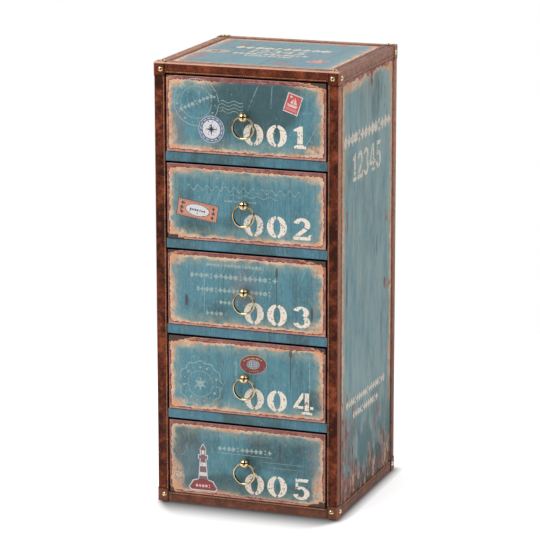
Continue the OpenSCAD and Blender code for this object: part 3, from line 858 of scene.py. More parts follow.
class SeamStitches(Operator):
    """Sews a row of thread along every strip of edging"""
    bl_idname = "trunk_cabinet.stitches"
    bl_label = "Seam Stitches"

    def execute(self, context):
        look = context.scene.trunk_leather
        paint = Paint("thread")
        twist = paint.noise(paint.place, 0.5, 2, 0.6)
        grime_and_shade = paint.noise(paint.place, 9, 3, 0.6)
        colour = paint.mix(grime_and_shade.step(0.45, 0.7) * 0.6, look.thread, look.brown)
        thread = paint.finish(colour, 0.65, twist * 0.1)
        pattern = Pattern("stitch_row", {
            "Pitch": "NodeSocketFloat", "Stitch length": "NodeSocketFloat",
            "Thread width": "NodeSocketFloat", "Seed": "NodeSocketInt"})
        pitch, length, width, seed = pattern.given
        row = pattern.node("GeometryNodeResampleCurve", {"mode": "LENGTH"},
                           {"Curve": pattern.curve, "Length": pitch})[0]
        bead = pattern.node("GeometryNodeMeshUVSphere", {},
                            {"Segments": 6, "Rings": 3, "Radius": 0.5})[0]
        along = pattern.node("GeometryNodeInputTangent")[0]
        turn = pattern.node("FunctionNodeAlignRotationToVector", {"axis": "X"},
                            {"Vector": along})[0]
        shortest, longest = 0.88, 1.06
        uneven = pattern.node("FunctionNodeRandomValue", {"data_type": "FLOAT"},
                              {2: shortest, 3: longest, "Seed": seed})[1]
        size = pattern.node("ShaderNodeCombineXYZ", {}, {0: uneven * length, 1: width, 2: width})[0]
        placing = {"Points": row, "Instance": bead, "Rotation": turn, "Scale": size}
        stitches = pattern.node("GeometryNodeInstanceOnPoints", {}, placing)[0]
        pattern.close(stitches, thread)
        lines = seam_lines(look.seam_inset / MM)
        seam = line_mesh("edging_stitches", lines, look.thread_width * 0.2)
        pattern.grow(seam, {"Pitch": look.stitch_pitch, "Stitch length": look.stitch_length,
                            "Thread width": look.thread_width,
                            "Seed": context.scene.trunk_studio.seed})
        settle(seam, CARCASS)
        return {"FINISHED"}


class EdgingBeads(Operator):
    """Raises a rounded leather bead along the inner edge of every strip"""
    bl_idname = "trunk_cabinet.beads"
    bl_label = "Edging Beads"

    def execute(self, context):
        look = context.scene.trunk_leather
        pattern = Pattern("edging_bead", {"Width": "NodeSocketFloat", "Height": "NodeSocketFloat"})
        width, height = pattern.given
        profile = pattern.node("GeometryNodeCurvePrimitiveCircle", {},
                               {"Resolution": 12, "Radius": 0.5})[0]
        size = pattern.node("ShaderNodeCombineXYZ", {}, {0: width, 1: height * 2.0, 2: 1.0})[0]
        section = pattern.node("GeometryNodeTransform", {}, {"Geometry": profile, "Scale": size})[0]
        sweep = {"Curve": pattern.curve, "Profile Curve": section, "Fill Caps": True}
        bead = pattern.node("GeometryNodeCurveToMesh", {}, sweep)[0]
        pattern.close(bead, leather_material(look, "bead_leather", 0.6))
        beads = line_mesh("edging_beads", seam_lines(look.bead_inset / MM), 0)
        pattern.grow(beads, {"Width": look.bead_width, "Height": look.bead_height})
        settle(beads, CARCASS)
        return {"FINISHED"}


# Outlines of marks, in millimetres across and up on their face, each turning left

def box(left, low, wide, high):
    return [(left, low), (left + wide, low), (left + wide, low + high), (left, low + high)]


def around(across, up, half_wide, half_high, turns):
    """Points of an oval at some angles"""
    return [(across + half_wide * math.cos(turn), up + half_high * math.sin(turn))
            for turn in turns]


def oval(across, up, half_wide, half_high, count=36):
    turns = [math.tau * step / count for step in range(count)]
    return around(across, up, half_wide, half_high, turns)


def bent_strip(first, second):
    """The strip between two lines that run side by side"""
    return first + second[::-1]


def band(across, up, outer, inner, start, end, count=16):
    """Bent strip between two ovals, from one angle to another in degrees"""
    turns = [math.radians(start + (end - start) * step / count) for step in range(count + 1)]
    return bent_strip(around(across, up, *outer, turns), around(across, up, *inner, turns))


def ring(across, up, radius, width):
    """Thin ring with a short break, because an outline can't close on itself"""
    inner = radius - width
    return band(across, up, (radius, radius), (inner, inner), 3, 357, 60)


def lozenge(across, up, half_wide, half_high):
    return oval(across, up, half_wide, half_high, 4)


def rayed(across, up, turns, reach):
    """Points at some angles, each at its own distance"""
    return [(across + far * math.cos(turn), up + far * math.sin(turn))
            for turn, far in zip(turns, reach)]


def star(across, up, tip, notch, points):
    turns = [math.pi / 2 + math.pi * step / points for step in range(2 * points)]
    reach = [notch if step % 2 else tip for step in range(2 * points)]
    return rayed(across, up, turns, reach)


def wave(left, right, up, height, length, width):
    """Ribbon that swings above and below a level"""
    count = max(8, round(8 * (right - left) / length))
    path = [left + (right - left) * step / count for step in range(count + 1)]
    rise = [up + height * math.sin(math.tau * (place - left) / length) for place in path]
    return bent_strip([(place, level - width / 2) for place, level in zip(path, rise)],
                      [(place, level + width / 2) for place, level in zip(path, rise)])


def toothed_box(half_wide, half_high, pitch, depth):
    """Rectangle about the origin with a stamp's toothed edges"""
    corners = [(-half_wide, -half_high), (half_wide, -half_high), (half_wide, half_high),
               (-half_wide, half_high)]
    outline = []
    for start, end in zip(corners, corners[1:] + corners[:1]):
        run = Vector(end) - Vector(start)
        inward = Vector((-run.y, run.x)).normalized() * depth
        teeth = round(run.length / pitch)
        for tooth in range(teeth):
            outline.append(tuple(Vector(start) + run * tooth / teeth))
            if tooth:
                outline[-1] = tuple(Vector(outline[-1]) + inward * (tooth % 2))
    return outline


def moved(outlines, across=0.0, up=0.0, turn=0.0, wide=1.0, high=1.0):
    """Outlines stretched, then turned by an angle in degrees, then shifted"""
    cosine, sine = math.cos(math.radians(turn)), math.sin(math.radians(turn))
    return [[(across + a * wide * cosine - b * high * sine,
              up + a * wide * sine + b * high * cosine) for a, b in outline]
            for outline in outlines]


# Stencil digits 39 mm high, each with its width and the pieces that the stencil's bridges leave
DIGIT_HEIGHT = 39
DIGIT_GAP = 5
DIGITS = {
    "0": (37, [band(18.5, 19.5, (18.5, 19.5), (6.5, 15), 97, 263),
               band(18.5, 19.5, (18.5, 19.5), (6.5, 15), -83, 83)]),
    "1": (24, [[(7, 8), (17, 8), (17, 39), (12, 39), (0, 33), (0, 30), (7, 30)],
               [(1, 0), (23, 0), (23, 4), (17, 6.5), (7, 6.5), (1, 4)]]),
    "2": (33, [band(15.5, 27, (15.5, 12), (5.5, 6.5), -38, 168),
               [(2, 7.5), (12, 7.5), (26, 17.8), (18.5, 21.5)],
               [(0, 0), (31, 0), (33, 10), (29, 10), (26.5, 6), (0, 6)]]),
    "3": (31, [band(14, 28.5, (15, 10.5), (5, 5.5), -62, 165),
               band(15, 11.5, (16, 11.5), (5.5, 6.5), -165, 62)]),
    "4": (37, [[(0, 10), (18.5, 10), (18.5, 15), (8, 15), (18.5, 30), (18.5, 39), (16, 39),
                (0, 13.5)],
               box(21, 6.5, 8, 32.5), box(31, 10, 6, 5),
               [(15, 0), (35, 0), (35, 3.5), (29, 5), (21, 5), (15, 3.5)]]),
    "5": (31, [[(4, 33), (26, 33), (29, 39), (4, 39)], [(4, 19), (9, 22.5), (9, 31.5), (4, 31.5)],
               band(14.5, 12.5, (16, 12.5), (6, 7.5), -165, 135)]),
}


def digit(sign, left, base, height, narrow=1.0):
    scale = height / DIGIT_HEIGHT
    return moved(DIGITS[sign][1], left, base, 0, scale * narrow, scale)


def number(signs, middle, base, height, narrow):
    """Stencil digits in a row about a middle"""
    scale = height / DIGIT_HEIGHT * narrow
    widths = sum(DIGITS[sign][0] for sign in signs)
    left = middle - (widths + DIGIT_GAP * (len(signs) - 1)) * scale / 2
    outlines = []
    for sign in signs:
        outlines += digit(sign, left, base, height, narrow)
        left += (DIGITS[sign][0] + DIGIT_GAP) * scale
    return outlines


# The order in which ornaments follow one another along a row and round a ring
ROW = ("lozenge", "star", "lozenge", "flower", "pair", "star")
RING = ("lozenge", "dot", "star", "dot")


def motif(kind, across, up, height):
    """A small ornament, centred on a point"""
    half = height / 2
    if kind == "lozenge":
        return [lozenge(across, up, half * 0.78, half)]
    if kind == "pair":
        return [lozenge(across, up + side * half * 0.56, half * 0.4, half * 0.44)
                for side in (-1, 1)]
    if kind == "dot":
        return [oval(across, up, half * 0.36, half * 0.36, 10)]
    notch, points = {"star": (0.5, 4), "flower": (0.6, 6)}[kind]
    return [star(across, up, half, half * notch, points)]


def ornament_row(left, right, base, height, pitch=0.84):
    """A border of small ornaments, with a pitch given as a share of their height"""
    count = max(1, round((right - left) / (height * pitch)))
    outlines = []
    for place in range(count):
        across = left + (right - left) * (place + 0.5) / count
        outlines += motif(ROW[place % len(ROW)], across, base + height / 2, height)
    return outlines


def ornament_ring(across, up, radius, height, count):
    """Ornaments set round a circle, with their feet towards its centre"""
    outlines = []
    for place in range(count):
        ornament = motif(RING[place % len(RING)], 0, radius, height)
        outlines += moved(ornament, across, up, 360.0 * place / count)
    return outlines


class Sheet:
    """Thin closed shapes in flat colours, laid on one face of a body and joined into one piece"""

    def __init__(self, look, body, origin, right, up):
        self.look, self.body = look, body
        self.origin, self.right, self.up = Vector(origin), Vector(right), Vector(up)
        self.out = self.right.cross(self.up)
        self.mesh = bmesh.new()
        self.tint = self.mesh.loops.layers.float_color.new("tint")

    def point(self, across, up, out):
        """A vertex across and up from the origin, and as many metres off the face as out says"""
        return self.mesh.verts.new(self.origin * MM + self.right * across * MM + self.up * up * MM
                                   + self.out * out)

    def fill(self, outlines, colour, layer=0):
        """Adds a slab for each outline; a higher layer stands a little prouder"""
        top = self.look.film + layer * self.look.layer
        for outline in outlines:
            low = [self.point(across, up, top / 4) for across, up in outline]
            high = [self.point(across, up, top) for across, up in outline]
            faces = [self.mesh.faces.new(high), self.mesh.faces.new(low[::-1])]
            for a, b in zip(range(-1, len(low) - 1), range(len(low))):
                faces.append(self.mesh.faces.new((low[a], low[b], high[b], high[a])))
            for face in faces:
                for corner in face.loops:
                    corner[self.tint] = linear(colour)

    def piece(self, name, material):
        self.mesh.normal_update()
        bmesh.ops.triangulate(self.mesh, faces=self.mesh.faces[:])
        mesh = bpy.data.meshes.new(name)
        self.mesh.to_mesh(mesh)
        self.mesh.free()
        mesh.materials.append(material)
        piece = bpy.data.objects.new(name, mesh)
        bpy.context.scene.collection.objects.link(piece)
        settle(piece, self.body)


def face_sheet(look, side):
    """A sheet on the middle of one of the cabinet's outer faces"""
    middle = (BOARD_LOW + BOARD_HIGH) / 2
    places = {
        "right": ((BOARD_HIGH.x, middle.y, middle.z), (0, 1, 0), (0, 0, 1)),
        "left": ((BOARD_LOW.x, middle.y, middle.z), (0, -1, 0), (0, 0, 1)),
        "top": ((middle.x, middle.y, BOARD_HIGH.z), (1, 0, 0), (0, 1, 0)),
    }
    return Sheet(look, CARCASS, *places[side])


def drawer_sheet(look, drawer):
    """A sheet on the middle of a drawer's front"""
    low, high = span(f"drawer_{drawer}_front")
    middle = ((low.x + high.x) / 2, low.y, (low.z + high.z) / 2)
    return Sheet(look, f"drawer_{drawer}", middle, (1, 0, 0), (0, 0, 1))


def mark_material(name, chip_size, kept, strength=1.0, pits=1.0):
    """Ink that takes its colour from the mesh and has flaked off. It stays where the noise of its
    chips is below kept, and pits from 0 to 1 says how clearly small holes show in it"""
    paint = Paint(name)
    tint = paint.node("ShaderNodeAttribute", {"attribute_name": "tint"})[0]
    grime_and_shade = paint.noise(paint.place, 5, 4, 0.65)
    dirt = tone(150, 140, 132)
    colour = paint.mix(grime_and_shade.step(0.5, 0.78) * 0.35, tint, dirt)
    chips = paint.noise(paint.place, chip_size, 3, 0.55)
    holes = (paint.cells(paint.place, chip_size * 1.7) + grime_and_shade * -0.36).step(-0.04, 0.0)
    holes = 1 - (1 - holes) * pits
    alpha = chips.step(kept + 0.015, kept - 0.015) * holes * strength
    return paint.finish(colour, 0.5, grime_and_shade * 0.02, alpha)


# Where the numbers stand from the middle of their fronts: each drawer's base, each digit's left
NUMBER_BASES = (-48, -53, -55, -55, -57)
NUMBER_LEFTS = (-4, 39, 88)


class StencilNumbers(Operator):
    """Stencils each drawer's number on its front"""
    bl_idname = "trunk_cabinet.numbers"
    bl_label = "Stencil Numbers"

    def execute(self, context):
        look = context.scene.trunk_marks
        material = mark_material("stencil_paint", 3.4, 0.62)
        for drawer, base in zip(DRAWERS, NUMBER_BASES):
            sheet = drawer_sheet(look, drawer)
            for sign, left in zip(f"{drawer:03d}", NUMBER_LEFTS):
                sheet.fill(digit(sign, left, base, look.numeral_height / MM), look.paint)
            sheet.piece(f"drawer_{drawer}_number", material)
        return {"FINISHED"}


# The cabinet's outer marks: rows of ornaments by their left, right, base and height, the first of
# them above the digits, and then the digits by their middle, base, height and narrowness
SIDE_MARKS = [(-132, 128, 256, 27), (-114, 106, -214, 17), (-76, 66, -240, 17)], (-4, 192, 50, 0.7)
TOP_MARKS = [(-96, 82, 34, 27), (-80, 62, -25, 17), (-52, 38, -42, 13)], (-5, -1, 30, 0.78)


class CrateMarks(Operator):
    """Stencils rows of ornaments and plain digits on the cabinet's sides and top"""
    bl_idname = "trunk_cabinet.crate_marks"
    bl_label = "Crate Marks"

    def execute(self, context):
        look = context.scene.trunk_marks
        material = mark_material("crate_paint", 4.2, 0.6, 0.88)
        for side, marks in {"right": SIDE_MARKS, "left": SIDE_MARKS, "top": TOP_MARKS}.items():
            first, *others = [ornament_row(*row, 0.68) for row in marks[0]]
            sheet = face_sheet(look, side)
            for outlines in (first, number("12345", *marks[1]), *others):
                sheet.fill(outlines, look.paint)
            sheet.piece(f"{side}_crate_marks", material)
        return {"FINISHED"}


class GhostMarks(Operator):
    """Draws the faint postmark, seal and ornament rows that show through the print"""
    bl_idname = "trunk_cabinet.ghosts"
    bl_label = "Ghost Marks"

    def execute(self, context):
        self.look = context.scene.trunk_marks
        self.material = mark_material("ghost_ink", 7, 0.64, 0.58, 0.3)
        post = [ring(-91, 22, 42, 1.2), ring(-91, 22, 29, 0.9)]
        post += ornament_ring(-91, 22, 35.5, 6, 15)
        post += moved(ornament_row(-34, 34, -5, 9), -91, 22, 24)
        post += [wave(-48, -4, level, 2, 22, 1.0) for level in (8, 14, 20, 26)]
        self.mark(1, post)
        scroll = [wave(-110, 100, 27, 4.5, 17, 1.3), wave(-30, 60, 16, 2.4, 23, 1.0)]
        self.mark(2, scroll + ornament_row(-40, 20, 4, 4.5))
        text = []
        for row in ((-75, 36, 42, 8), (-106, 58, 20, 11), (-94, 48, -4, 10), (-51, -12, -25, 9),
                    (-77, -43, -46, 9)):
            text += ornament_row(*row)
        self.mark(3, text)
        seal = self.scalloped(-87, -17, 41, 1.8, 12, 1.5) + [ring(-87, -17, 24, 0.9)]
        seal += ornament_ring(-87, -17, 31, 7, 15) + [star(-87, -17, 13, 5, 6)]
        self.mark(4, seal)
        card = [box(-55, 14, 103, 0.9), box(35, 5, 70, 0.6), box(35, -4, 70, 0.6)]
        self.mark(5, card + ornament_row(-55, 48, 18, 10))
        return {"FINISHED"}

    def mark(self, drawer, outlines):
        sheet = drawer_sheet(self.look, drawer)
        sheet.fill(outlines, self.look.ghost)
        sheet.piece(f"drawer_{drawer}_ghost_marks", self.material)

    def scalloped(self, across, up, radius, swing, lobes, width):
        """Two half rings whose radius swings in and out"""
        halves = []
        for first in (0, 180):
            turns = [math.radians(first + 4 + 172 * step / 60) for step in range(61)]
            reach = [radius + swing * math.cos(lobes * turn) for turn in turns]
            outer = rayed(across, up, turns, reach)
            inner = rayed(across, up, turns, [far - width for far in reach])
            halves.append(bent_strip(outer, inner))
        return halves


class Stickers(Operator):
    """Sticks generic travel labels on the drawer fronts and the top"""
    bl_idname = "trunk_cabinet.stickers"
    bl_label = "Stickers"

    def execute(self, context):
        look = context.scene.trunk_marks
        material = mark_material("sticker_paper", 4, 0.68)
        labels = (("boat_stamp", 1, self.stamp, 87, 29, -18.4),
                  ("compass_badge", 1, self.badge, -63, -24, 0),
                  ("ticket", 2, self.ticket, -90, -14, -8.8),
                  ("globe_label", 4, self.globe, 13, 27, 5),
                  ("lighthouse_label", 5, self.lighthouse, -83, -58, 0),
                  ("top_stamp", "top", self.stamp, 97, -62, -28),
                  ("top_label", "top", self.flower, -113, -8, 6))
        for name, place, draw, across, up, turn in labels:
            sheet = face_sheet(look, place) if place == "top" else drawer_sheet(look, place)
            for layer, (outlines, colour) in enumerate(draw(look)):
                sheet.fill(moved(outlines, across, up, turn), colour, layer)
            sheet.piece(name, material)
        return {"FINISHED"}

    def stamp(self, look):
        """Toothed stamp with a sailing boat under a sun"""
        hull = [(-8, -6), (7, -6), (10, -1.5), (-10, -1.5)]
        sails = [[(1, 0), (8, 0), (1, 12)], [(-0.5, 0), (-0.5, 10), (-6, 0)]]
        waves = [wave(-11, 11, level, 0.7, 5.5, 0.7) for level in (-9, -11.5)]
        return [([toothed_box(14.3, 17.5, 1.5, 0.7)], look.paper),
                ([box(-12.4, -15.6, 24.8, 31.2)], look.red),
                ([hull, oval(-6.5, 11, 2.2, 2.2, 16)] + sails + waves, look.blush)]

    def badge(self, look):
        """Round badge with a compass rose"""
        def disc(radius, count=48):
            return [oval(0, 0, radius, radius, count)]

        dashes = [band(0, 0, (20.6, 20.6), (18.6, 18.6), start, start + 15, 4)
                  for start in range(0, 360, 24)]
        slant = moved([star(0, 0, 8.5, 2.2, 4)], turn=45)
        return [(disc(23.7), look.paper), (disc(22.8), look.plum), (disc(22), look.sky),
                (dashes, look.pale_sky), (disc(17.4, 40), look.plum), (disc(16.5, 40), look.paper),
                (slant, look.sky), ([star(0, 0, 12, 2.6, 4)] + disc(1.2, 12), look.ink)]

    def ticket(self, look):
        """Ticket with an oval panel between ornaments"""
        corners = [motif("star", side * 29, level, 8)[0] for side in (-1, 1) for level in (-8, 8)]
        flowers = [star(side * 30, 0, 4.5, 2, 6) for side in (-1, 1)]
        dots = [oval(-34 + 4 * place, level, 0.8, 0.8, 8)
                for place in range(18) for level in (-12.6, 12.6)]
        return [([box(-38, -15.5, 76, 31)], look.ink), ([box(-37, -14.5, 74, 29)], look.salmon),
                (corners + flowers + dots + [oval(0, 0, 22.5, 10.8)], look.ink),
                ([oval(0, 0, 21.7, 10)], look.paper), (ornament_row(-15, 15, -2.5, 5), look.ink)]

    def globe(self, look):
        """Oval label with a globe"""
        arcs = [band(0, 0, (wide, 7.6), (wide - 0.5, 7.2), start, start + 150, 12)
                for wide in (3.5, 7.5) for start in (-75, 105)]
        arcs += [box(-10.5, level - 0.25, 21, 0.5) for level in (-3, 0, 3)]
        gold = []
        for place in range(12):
            across = -16 + 2.9 * place
            rise = 11.4 * math.sqrt(1 - (across / 21) ** 2)
            gold += motif(("lozenge", "dot", "star")[place % 3], across, rise, 3.6)
        for across in (-7.5, -3.75, 0, 3.75, 7.5):
            gold += motif("lozenge", across, -12.2, 2.6)
        return [([oval(0, 0, 25.5, 17.5, 48)], look.gold),
                ([oval(0, 0, 24.6, 16.6, 48)], look.plum),
                (gold + [oval(0, 0, 12.3, 8.5)], look.gold),
                ([oval(0, 0, 11.6, 7.8)], look.steel_blue), (arcs, look.paper)]

    def flower(self, look):
        """Pale oval label with a flower"""
        petals = []
        for turn in range(0, 360, 72):
            petals += moved([oval(6, 0, 5, 2.6, 12)], turn=turn)
        return [([oval(0, 0, 26, 18, 40)], look.gold), ([oval(0, 0, 24, 16, 40)], look.haze),
                (petals, look.plum), ([oval(0, 0, 3, 3, 12)], look.gold)]

    def lighthouse(self, look):
        """Lighthouse on a mound, cut out with a pale border"""
        def mirrored(half):
            return half + [(-across, up) for across, up in half[::-1]]

        def tower(edge):
            return mirrored([(8 + edge, 15), (4.6 + edge, 58), (8 + edge, 58 - edge),
                             (8 + edge, 64 + edge), (4 + edge, 64 + edge), (4 + edge, 75),
                             (6 + edge, 75 - edge), (edge * 0.6, 84 + edge)])

        def mound(edge):
            return mirrored([(22 + edge, -edge), (26 + edge, 4), (18 + edge, 16 + edge),
                             (8, 19 + edge)])

        stripes = [[(-width, low), (width, low), (width - 0.6, low + 7), (-width + 0.6, low + 7)]
                   for low, width in ((26, 6.9), (44, 5.5))]
        lamp = [box(-2.6, 66, 5.2, 7.5)]
        return [([tower(1.5), mound(1.5)], look.paper), ([tower(0.0), mound(0.0)], look.stone),
                (stripes + lamp, look.paper), ([mound(-0.6)], look.maroon),
                (ornament_row(-15, 15, 4, 7), look.blush)]


# Metal, plastic and wood

def brass(paint, look, dull_size, grime_and_shade=None, height=None):
    """Polished brass that has dulled in patches, and is painted dark where the given mask is 1, as
    painted shade and reflection
    """
    dull = paint.noise(paint.place, dull_size, 3, 0.6)
    coat = Layers(paint, look.brass)
    coat.lay(dull.step(0.5, 0.8) * 0.5, look.tarnish)
    if grime_and_shade is not None:
        coat.lay(grime_and_shade, look.grime_and_shade)
    return paint.finish(coat.colour, look.roughness + 0.12 * dull, height, fixed={"Metallic": 1.0})


class MetalFinish(Operator):
    """Polishes the brass pulls and nails, and plates the screws"""
    bl_idname = "trunk_cabinet.metal"
    bl_label = "Metal"

    def execute(self, context):
        look = context.scene.trunk_metal
        paint = Paint("brass")
        hair = paint.noise(paint.place, 0.5, 2, 0.6, (1, 1, 8))
        dress(brass(paint, look, 5, height=hair * 0.006), "corner_nails")
        for drawer in DRAWERS:
            self.ring(look, f"drawer_{drawer}_pull_ring")
        front = span("drawer_1_pull_post")[0].y
        paint = Paint("post_brass")
        # Painted shade: the back of each ball and its neck are made dark
        dress(brass(paint, look, 5, paint.y.step(front + 7, front + 14) * 0.9),
              *[f"drawer_{drawer}_pull_post" for drawer in DRAWERS])
        paint = Paint("zinc")
        plating = paint.noise(paint.place, 2, 3, 0.6)
        colour = paint.mix(plating, look.steel, look.dull_steel)
        zinc = paint.finish(colour, 0.3 + 0.2 * plating, plating * 0.02, fixed={"Metallic": 1.0})
        dress(zinc, *[f"drawer_{drawer}_pull_screw" for drawer in DRAWERS])
        return {"FINISHED"}

    def ring(self, look, node):
        """Brass painted dark round the inside of a ring, as a painted reflection of the dark
        surroundings
        """
        low, high = span(node)
        middle, half_wire = (low + high) / 2, (high.y - low.y) / 2
        bend = (high.x - low.x) / 2 - half_wire
        paint = Paint(node)
        up = (paint.z - middle.z) / bend
        far = (((paint.x - middle.x) / bend) ** 2.0 + up ** 2.0) ** 0.5
        inside = (1 - far) * (bend / half_wire)
        dress(brass(paint, look, 4, inside.step(0.1, 0.7) * up.step(-0.95, -0.75) * 0.95), node)


class WoodFinish(Operator):
    """Gives the drawer boxes plain pine and hardboard, and finishes the dowels and glides"""
    bl_idname = "trunk_cabinet.wood"
    bl_label = "Wood and Glides"

    def execute(self, context):
        look = context.scene.trunk_wood
        paint = Paint("pine")
        bend = paint.noise(paint.place, 60, 2, 0.5, (1, 4, 1))
        height = paint.z + 55 * bend + paint.x * 0.3
        rings = {"Vector": paint.joined(0.0, 0.0, height), "Scale": 0.036, "Distortion": 0.0}
        ring = paint.node("ShaderNodeTexWave", {"bands_direction": "Z"}, rings)[1]
        pore = paint.noise(paint.place, 0.8, 3, 0.6, (1, 30, 1))
        coat = Layers(paint, look.pine)
        coat.lay(ring.step(0.35, 1.0) * 0.45, look.pine_grain)
        coat.lay(pore.step(0.5, 0.8) * 0.4, look.pine_grain)
        pine = paint.finish(coat.colour, 0.6, pore * -0.05)
        paint = Paint("hardboard")
        fibre = paint.noise(paint.place, 1.4, 4, 0.7)
        colour = paint.mix(fibre.step(0.3, 0.7), look.hardboard, look.board)
        hardboard = paint.finish(colour, 0.55, fibre * 0.03)
        for drawer in DRAWERS:
            for part in ("left_side", "right_side", "back"):
                dress(pine, f"drawer_{drawer}_{part}")
            dress(hardboard, f"drawer_{drawer}_bottom")
        dress(pine, "carcass_dowels")
        paint = Paint("glide_plastic")
        grit = paint.noise(paint.place, 0.6, 2, 0.6)
        colour = paint.mix(grit * 0.4, look.plastic, look.scuff)
        dress(paint.finish(colour, 0.5, grit * 0.03), "floor_glides")
        return {"FINISHED"}


# The studio

WHITE = tone(255, 255, 255)
BLACK = tone(0, 0, 0)


class Studio(Operator):
    """Sets up the camera, the even light and the pale floor"""
    bl_idname = "trunk_cabinet.studio"
    bl_label = "Studio"

    def execute(self, context):
        scene = context.scene
        look = scene.trunk_studio
        self.camera(scene, look)
        self.lights(scene, look)
        self.floor(look)
        self.flags(look)
        scene.view_settings.view_transform = "Standard"
        return {"FINISHED"}

    def towards_camera(self, look):
        turn, rise = look.azimuth, look.elevation
        return Vector((math.sin(turn) * math.cos(rise), -math.cos(turn) * math.cos(rise),
                       math.sin(rise)))

    def camera(self, scene, look):
        camera = bpy.data.objects.new("camera", bpy.data.cameras.new("camera"))
        scene.collection.objects.link(camera)
        back = self.towards_camera(look)
        camera.rotation_euler = back.to_track_quat("Z", "Y").to_euler()
        camera.rotation_euler.rotate_axis("Z", look.roll)
        camera.location = Vector(look.aim) + back * look.distance
        camera.data.lens = look.lens
        camera.data.sensor_width = 36
        camera.data.clip_end = 100
        scene.camera = camera

    def lights(self, scene, look):
        world = bpy.data.worlds.new("studio")
        world.use_nodes = True
        scene.world = world
        sky = Nodes(world.node_tree)
        level = sky.node("ShaderNodeMix", {}, {0: sky.seen(), 2: look.sky, 3: 1.0})[0]
        light = sky.node("ShaderNodeBackground", {}, {"Color": WHITE, "Strength": level})[0]
        sky.node("ShaderNodeOutputWorld", {}, {0: light})

        lamp = bpy.data.objects.new("soft_lamp", bpy.data.lights.new("soft_lamp", "AREA"))
        scene.collection.objects.link(lamp)
        lamp.data.shape = "DISK"
        lamp.data.size = look.lamp_size
        lamp.data.energy = look.lamp
        lamp.location = look.lamp_place
        aim = Vector((0, 0, 0.4)) - lamp.location
        lamp.rotation_euler = aim.to_track_quat("-Z", "Y").to_euler()

    def floor(self, look):
        """A floor that looks white to the camera and to mirrors, keeps real shadows, and has a
        painted shadow round the cabinet's foot
        """
        edge = 30
        corners = [(-edge, -edge, 0), (edge, -edge, 0), (edge, edge, 0), (-edge, edge, 0)]
        paint = Paint("studio_floor")
        dim = paint.node("ShaderNodeBsdfDiffuse", {}, {"Color": tone(230, 230, 230)})[0]
        # A painted shadow: the floor darkens in an oval round the cabinet's foot, which reaches
        # furthest in front of it
        front_reach, side_reach, back_reach, left_more = 92, 19, 22, 6
        before = (BODY_LOW.y - paint.y).most(0.0)
        aside = paint.x.most(paint.x * -1 + left_more) - BODY_HALF.x
        beside = (aside + 3 + before * 0.9).most(0.0) / (before * 0.6 + side_reach)
        behind = (paint.y - BODY_HIGH.y).most(0.0) / back_reach
        out = (beside ** 2.0 + (before / front_reach) ** 2.0 + behind ** 2.0) ** 0.5
        clear = out.step(-0.38, 0.97) * 0.8 + out.step(0.8, 1.15) * 0.2
        shadow_tint = paint.mix(clear, BLACK, WHITE)
        near = paint.node("ShaderNodeBsdfDiffuse", {}, {"Color": shadow_tint})[0]
        lift = paint.node("ShaderNodeEmission", {}, {"Color": shadow_tint, "Strength": look.lift})[0]
        near = paint.node("ShaderNodeAddShader", {}, {0: near, 1: lift})[0]
        far = paint.node("ShaderNodeEmission", {}, {"Color": WHITE})[0]
        away = ((paint.x ** 2.0 + paint.y ** 2.0) ** 0.5).step(450, 1300)
        white = paint.node("ShaderNodeMixShader", {}, {0: away, 1: near, 2: far})[0]
        surface = paint.node("ShaderNodeMixShader", {}, {0: paint.seen(), 1: dim, 2: white})[0]
        paint.node("ShaderNodeOutputMaterial", {}, {0: surface})
        self.card("floor", corners, paint.material)

    def flags(self, look):
        """Crossed black strips and a soft glow, which only mirrors see, shape the brass"""
        right = Vector((math.cos(look.azimuth), math.sin(look.azimuth), 0))
        back = self.towards_camera(look)
        up = back.cross(right)
        black = self.plain("studio_black", 0.0)
        glow = self.plain("studio_glow", look.glow)
        middle, reach, half = Vector((0, -0.17, 0.4)), 6.0, 1.7
        parts = 12

        def strip(name, material, way, side, start, end, low, high):
            path = [math.radians(start + (end - start) * step / parts) for step in range(parts + 1)]
            rim = [middle + (back * math.cos(turn) + way * math.sin(turn)) * reach for turn in path]
            points = [point + side * edge for point in rim for edge in (low, high)]
            quads = [(2 * step, 2 * step + 1, 2 * step + 3, 2 * step + 2) for step in range(parts)]
            self.mirror_card(name, points, quads, material)

        strip("flag_level", black, right, up, -115, 115, -half, half)
        strip("flag_upright", black, up, right, -10, 115, -half, half)
        strip("glow_right", glow, right, up, 50, 90, 1.2, 3.4)
        level = Vector((back.x, back.y, 0)).normalized()
        near, far = Vector((0, -0.3, 0.004)), Vector((0, 0, 0.004)) + level * 5.9
        points = [near - right * 0.05, near + right * 0.05, far + right * half, far - right * half]
        self.mirror_card("flag_floor", points, [(0, 1, 2, 3)], black)

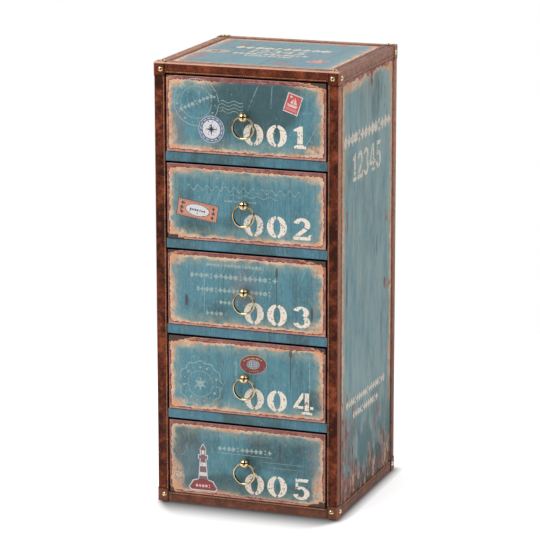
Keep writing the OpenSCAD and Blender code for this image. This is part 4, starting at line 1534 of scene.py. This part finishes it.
    def plain(self, name, strength):
        paint = Paint(name)
        light = paint.node("ShaderNodeEmission", {}, {"Color": WHITE, "Strength": strength})[0]
        paint.node("ShaderNodeOutputMaterial", {}, {0: light})
        return paint.material

    def mirror_card(self, name, points, faces, material):
        card = self.card(name, points, material, faces)
        for ray in ("camera", "diffuse", "transmission", "shadow"):
            setattr(card, f"visible_{ray}", False)

    def card(self, name, corners, material, faces=((0, 1, 2, 3),)):
        mesh = bpy.data.meshes.new(name)
        mesh.from_pydata(corners, [], faces)
        mesh.materials.append(material)
        card = bpy.data.objects.new(name, mesh)
        bpy.context.scene.collection.objects.link(card)
        return card


class FinishPanel(Panel):
    """Lists every step of the cabinet's finish"""
    bl_idname = "VIEW3D_PT_trunk_cabinet"
    bl_label = "Trunk Cabinet"
    bl_space_type = "VIEW_3D"
    bl_region_type = "UI"
    bl_category = "Trunk Cabinet"

    def draw(self, context):
        for step in STEPS:
            self.layout.operator(step.bl_idname)
        for name in LOOKS:
            group_box = self.layout.box()
            group_box.label(text=name.replace("trunk_", "").title())
            group = getattr(context.scene, name)
            for key in group.__annotations__:
                group_box.prop(group, key)


LOOKS = {"trunk_print": PrintLook, "trunk_leather": LeatherLook, "trunk_metal": MetalLook,
         "trunk_wood": WoodLook, "trunk_marks": MarkLook, "trunk_studio": StudioLook}
STEPS = [Studio, BoardFinish, FrontFinish, LeatherFinish, EdgingBeads, SeamStitches, StencilNumbers,
         CrateMarks, GhostMarks, Stickers, MetalFinish, WoodFinish]


def register():
    for kind in [*LOOKS.values(), *STEPS, FinishPanel]:
        bpy.utils.register_class(kind)
    for name, kind in LOOKS.items():
        setattr(bpy.types.Scene, name, PointerProperty(type=kind))


def unregister():
    for name in LOOKS:
        delattr(bpy.types.Scene, name)
    for kind in reversed([*LOOKS.values(), *STEPS, FinishPanel]):
        bpy.utils.unregister_class(kind)


def main():
    register()
    for step in STEPS:
        group, name = step.bl_idname.split(".")
        getattr(getattr(bpy.ops, group), name)()


if __name__ == "__main__":
    main()
